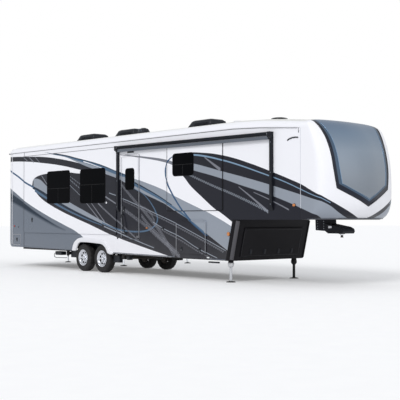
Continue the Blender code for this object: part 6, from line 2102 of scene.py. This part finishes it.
@dataclass
class FrontWall:
    """The wall under the gooseneck: a bright corner post on the curb side, one in painted shade on the street
    side, latches and its door's edge.
    """

    foot_z: float = 0.545
    head_z: float = 1.462

    def build(self) -> None:
        """Builds the pieces on the leaning wall."""
        wall = Surface("wall_front_lower")
        for side in Side:
            places = []
            for k in range(9):
                z = self.foot_z + (self.head_z - self.foot_z) * k / 8
                place, normal = wall.touch((6.0, side.value * 1.232, z), (-1.0, 0.0, 0.0))
                places.append(place)
            post = [(-0.048, LIFT), (-0.048, 0.006), (-0.036, 0.016), (0.0, 0.023), (0.036, 0.016),
                (0.048, 0.006), (0.048, LIFT)]
            # The street side's post takes the dark wall's finish: painted shade, as that corner lies in the
            # wall's shadow.
            finish = POST if side is Side.CURB else CHARCOAL_WALL
            Form().draped(places, [normal] * len(places), post).piece(
                f"corner_post_{side.word}", finish, slot="bare_aluminium", smooth=60)
        door = Surface("bay_door_front")
        latches = Form()
        for k in range(4):
            y = -0.683 + 0.469 * k
            place, normal = door.touch((6.0, y, 0.72), (-1.0, 0.0, 0.0))
            up = normal.cross(Vector((0.0, 1.0, 0.0))).normalized()
            up = up if up.z > 0 else -up
            rings = []
            for inset, out in ((0.0, LIFT), (0.0, 0.008), (0.006, 0.011), (0.01, 0.011), (0.013, 0.017),
                    (0.017, 0.018)):
                outline = rounded(grown((-0.034, 0.034), -inset), grown((-0.06, 0.06), -inset),
                    max(0.002, 0.014 - inset))
                rings.append([tuple(place + Vector((0.0, u, 0.0)) + up * v + normal * out)
                    for u, v in outline])
            latches.loft(rings)
        latches.piece("front_door_latches", BLACK, "bay_door_front", "black_plastic", smooth=40)
        edge = []
        for y, z in rounded((-0.985, 0.985), (0.625, 1.25), 0.03, 3):
            edge.append(door.touch((6.0, y, z), (-1.0, 0.0, 0.0))[0])
        edge.append(edge[0])
        Form().draped(edge, [normal] * len(edge), half_round(0.01, 0.004)).piece(
            "front_door_edge", DARK_TRIM, "bay_door_front", "dark_shell", smooth=60)


@dataclass
class Rear:
    """The rear: lamps with their bezels, ladder treads, bumper, blank plate, rear window and markers."""

    def build(self) -> None:
        """Builds the pieces behind the rear cap."""
        dress(ALUMINIUM, "ladder")
        dress(RED_LENS, "tail_lamp_curb", "tail_lamp_street")
        cap = Surface("rear_cap")
        for side in Side:
            y = sorted((side.value * 0.966, side.value * 1.134))
            bezel = rounded(y, (1.236, 1.764), 0.036)
            Form().moulding(bezel, flat_bar(0.02, 0.008), Axis.X, REAR_X, -1, closed=True).piece(
                f"tail_lamp_bezel_{side.word}", DARK_TRIM, slot="dark_shell")
            lens = Form().pad(tuple(sorted((side.value * 1.0, side.value * 1.1))), (1.28, 1.4), 0.02,
                Axis.X, REAR_X - 0.0222, -1, 0.006, 0.002)
            lens.piece(f"reverse_lens_{side.word}", CLEAR_LENS, slot="lamp_lens", smooth=50)
        treads = Form()
        for i in range(9):
            z = 1.15 + 0.29 * i
            treads.block((REAR_X - 0.0825, REAR_X - 0.052), (0.436, 0.764), (z + 0.0125, z + 0.0165))
        treads.piece("ladder_treads", RUBBER, slot="black_plastic", bevel=0.001)
        markers = Form()
        for y in (-0.22, 0.0, 0.22, -1.02, 1.02):
            place, _ = cap.touch((-9.0, y, 3.5), (1.0, 0.0, 0.0))
            markers.pad((y - 0.035, y + 0.035), (3.487, 3.513), 0.011, Axis.X, place.x, -1, 0.01, 0.004)
        markers.piece("rear_markers", RED_LENS, slot="lamp_lens", smooth=50)
        plate_x = cap.touch((-9.0, -0.55, 1.0), (1.0, 0.0, 0.0))[0].x
        Form().pad((-0.71, -0.39), (0.92, 1.08), 0.012, Axis.X, plate_x, -1, 0.004, 0.001).piece(
            "blank_plate", PLATE, slot="shell")
        Form().pad((-0.6, -0.5), (1.095, 1.12), 0.006, Axis.X, plate_x, -1, 0.018, 0.004).piece(
            "plate_lamp", BLACK, slot="black_plastic")
        bumper = Form().pad((-1.02, 1.02), (0.665, 0.765), 0.015, Axis.X, plate_x, -1, 0.03, 0.006)
        bumper.piece("bumper", CHASSIS, slot="frame_steel", smooth=50)
        window = Form().moulding(rounded((-0.62, 0.22), (2.2, 2.86), 0.07), flat_bar(0.03, 0.01), Axis.X,
            REAR_X, -1, closed=True)
        window.piece("rear_window_frame", BLACK, slot="black_plastic")
        Form().pad((-0.604, 0.204), (2.216, 2.844), 0.055, Axis.X, REAR_X, -1, 0.007, 0.002).piece(
            "rear_window_glass", GLASS, slot="tinted_glass")


@dataclass
class Studio:
    """Floor, light and camera."""

    camera_at: Point3 = (19.138, -15.52, 1.504)
    azimuth: float = 49.093
    pitch: float = 1.154
    focal_px: float = 890.76
    centre_px: Point2 = (202.58, 201.15)
    size_px: int = 400
    sensor: float = 36.0
    floor_half: float = 150.0        # half the floor's width

    def build_camera(self) -> None:
        """The camera at the photograph's viewing angle."""
        data = bpy.data.cameras.new("camera")
        data.sensor_width = self.sensor
        data.lens = self.focal_px / self.size_px * self.sensor
        data.shift_x = -(self.centre_px[0] - self.size_px / 2) / self.size_px
        data.shift_y = (self.centre_px[1] - self.size_px / 2) / self.size_px
        data.clip_end = 400.0
        thing = bpy.data.objects.new("camera", data)
        x, y, z = self.camera_at
        thing.location = (x + DATUM, y, z)
        thing.rotation_euler = (math.radians(90 + self.pitch), 0.0, math.radians(self.azimuth))
        bpy.context.scene.collection.objects.link(thing)
        bpy.context.scene.camera = thing

    def build_floor(self) -> None:
        """A pale floor that the camera and reflections see as near white, with the trailer's shadow on it."""
        graph = Graph("studio_floor")
        rays = graph.add("ShaderNodeLightPath")
        seen = rays.link.node.outputs
        white = Socket(graph, seen["Is Camera Ray"]).most(Socket(graph, seen["Is Glossy Ray"]))
        grain = graph.noise(3.0, 3.0)
        pale = graph.mix(grain, (0.8, 0.8, 0.81), (0.84, 0.84, 0.85))
        diffuse = graph.add("ShaderNodeBsdfDiffuse", inputs={"Color": pale})
        lift = graph.add("ShaderNodeEmission", inputs={"Color": (1.0, 1.0, 1.0), "Strength": white * 0.17})
        both = graph.add("ShaderNodeAddShader", inputs={0: diffuse, 1: lift})
        graph.add("ShaderNodeOutputMaterial", inputs={"Surface": both})
        form = Form()
        far = self.floor_half
        mesh = bpy.data.meshes.new("floor")
        form.data.faces.new([form.data.verts.new((x, y, 0.0))
            for x, y in ((-far, -far), (far, -far), (far, far), (-far, far))])
        form.data.to_mesh(mesh)
        form.data.free()
        floor = bpy.data.objects.new("floor", mesh)
        floor.data.materials.append(graph.material)
        bpy.context.scene.collection.objects.link(floor)

    def build_light(self) -> None:
        """A soft sky that the camera sees as white, and one broad soft sun."""
        world = bpy.data.worlds.new("studio")
        world.use_nodes = True
        tree = world.node_tree
        tree.nodes.clear()
        path = tree.nodes.new("ShaderNodeLightPath")
        sky = tree.nodes.new("ShaderNodeBackground")
        sky.inputs["Color"].default_value = (0.96, 0.98, 1.0, 1.0)
        sky.inputs["Strength"].default_value = 0.68
        white = tree.nodes.new("ShaderNodeBackground")
        white.inputs["Color"].default_value = (1.0, 1.0, 1.0, 1.0)
        white.inputs["Strength"].default_value = 1.0
        mixed = tree.nodes.new("ShaderNodeMixShader")
        seen = tree.nodes.new("ShaderNodeMath")
        seen.operation = "MAXIMUM"
        output = tree.nodes.new("ShaderNodeOutputWorld")
        tree.links.new(path.outputs["Is Camera Ray"], seen.inputs[0])
        tree.links.new(path.outputs["Is Transmission Ray"], seen.inputs[1])
        tree.links.new(seen.outputs[0], mixed.inputs[0])
        tree.links.new(sky.outputs[0], mixed.inputs[1])
        tree.links.new(white.outputs[0], mixed.inputs[2])
        tree.links.new(mixed.outputs[0], output.inputs["Surface"])
        bpy.context.scene.world = world
        for name, energy, angle, aim in (
                ("key", 1.25, 20.0, (-0.35, 0.75, -0.62)), ("fill", 0.45, 60.0, (-0.8, 0.1, -0.35))):
            data = bpy.data.lights.new(name, "SUN")
            data.energy = energy
            data.angle = math.radians(angle)
            thing = bpy.data.objects.new(name, data)
            thing.rotation_euler = Vector(aim).to_track_quat("-Z", "Y").to_euler()
            bpy.context.scene.collection.objects.link(thing)

    def build(self) -> None:
        """Camera, floor and light."""
        self.build_camera()
        self.build_floor()
        self.build_light()
        bpy.context.scene.view_settings.view_transform = "Standard"


def main() -> None:
    """Builds the studio and every assembly in order."""
    logging.basicConfig(level=logging.INFO, format="%(name)s: %(message)s")
    Studio().build()
    assemblies = (Shell(), Glazing(), Wheels(), Arches(), SideTrim(), Shield(), EntryDoor(), Fittings(),
        Awning(), RoofUnits(), Underbody(), FrontWall(), Rear())
    for assembly in assemblies:
        assembly.build()
        LOG.info("built %s", type(assembly).__name__)


if __name__ == "__main__":
    main()
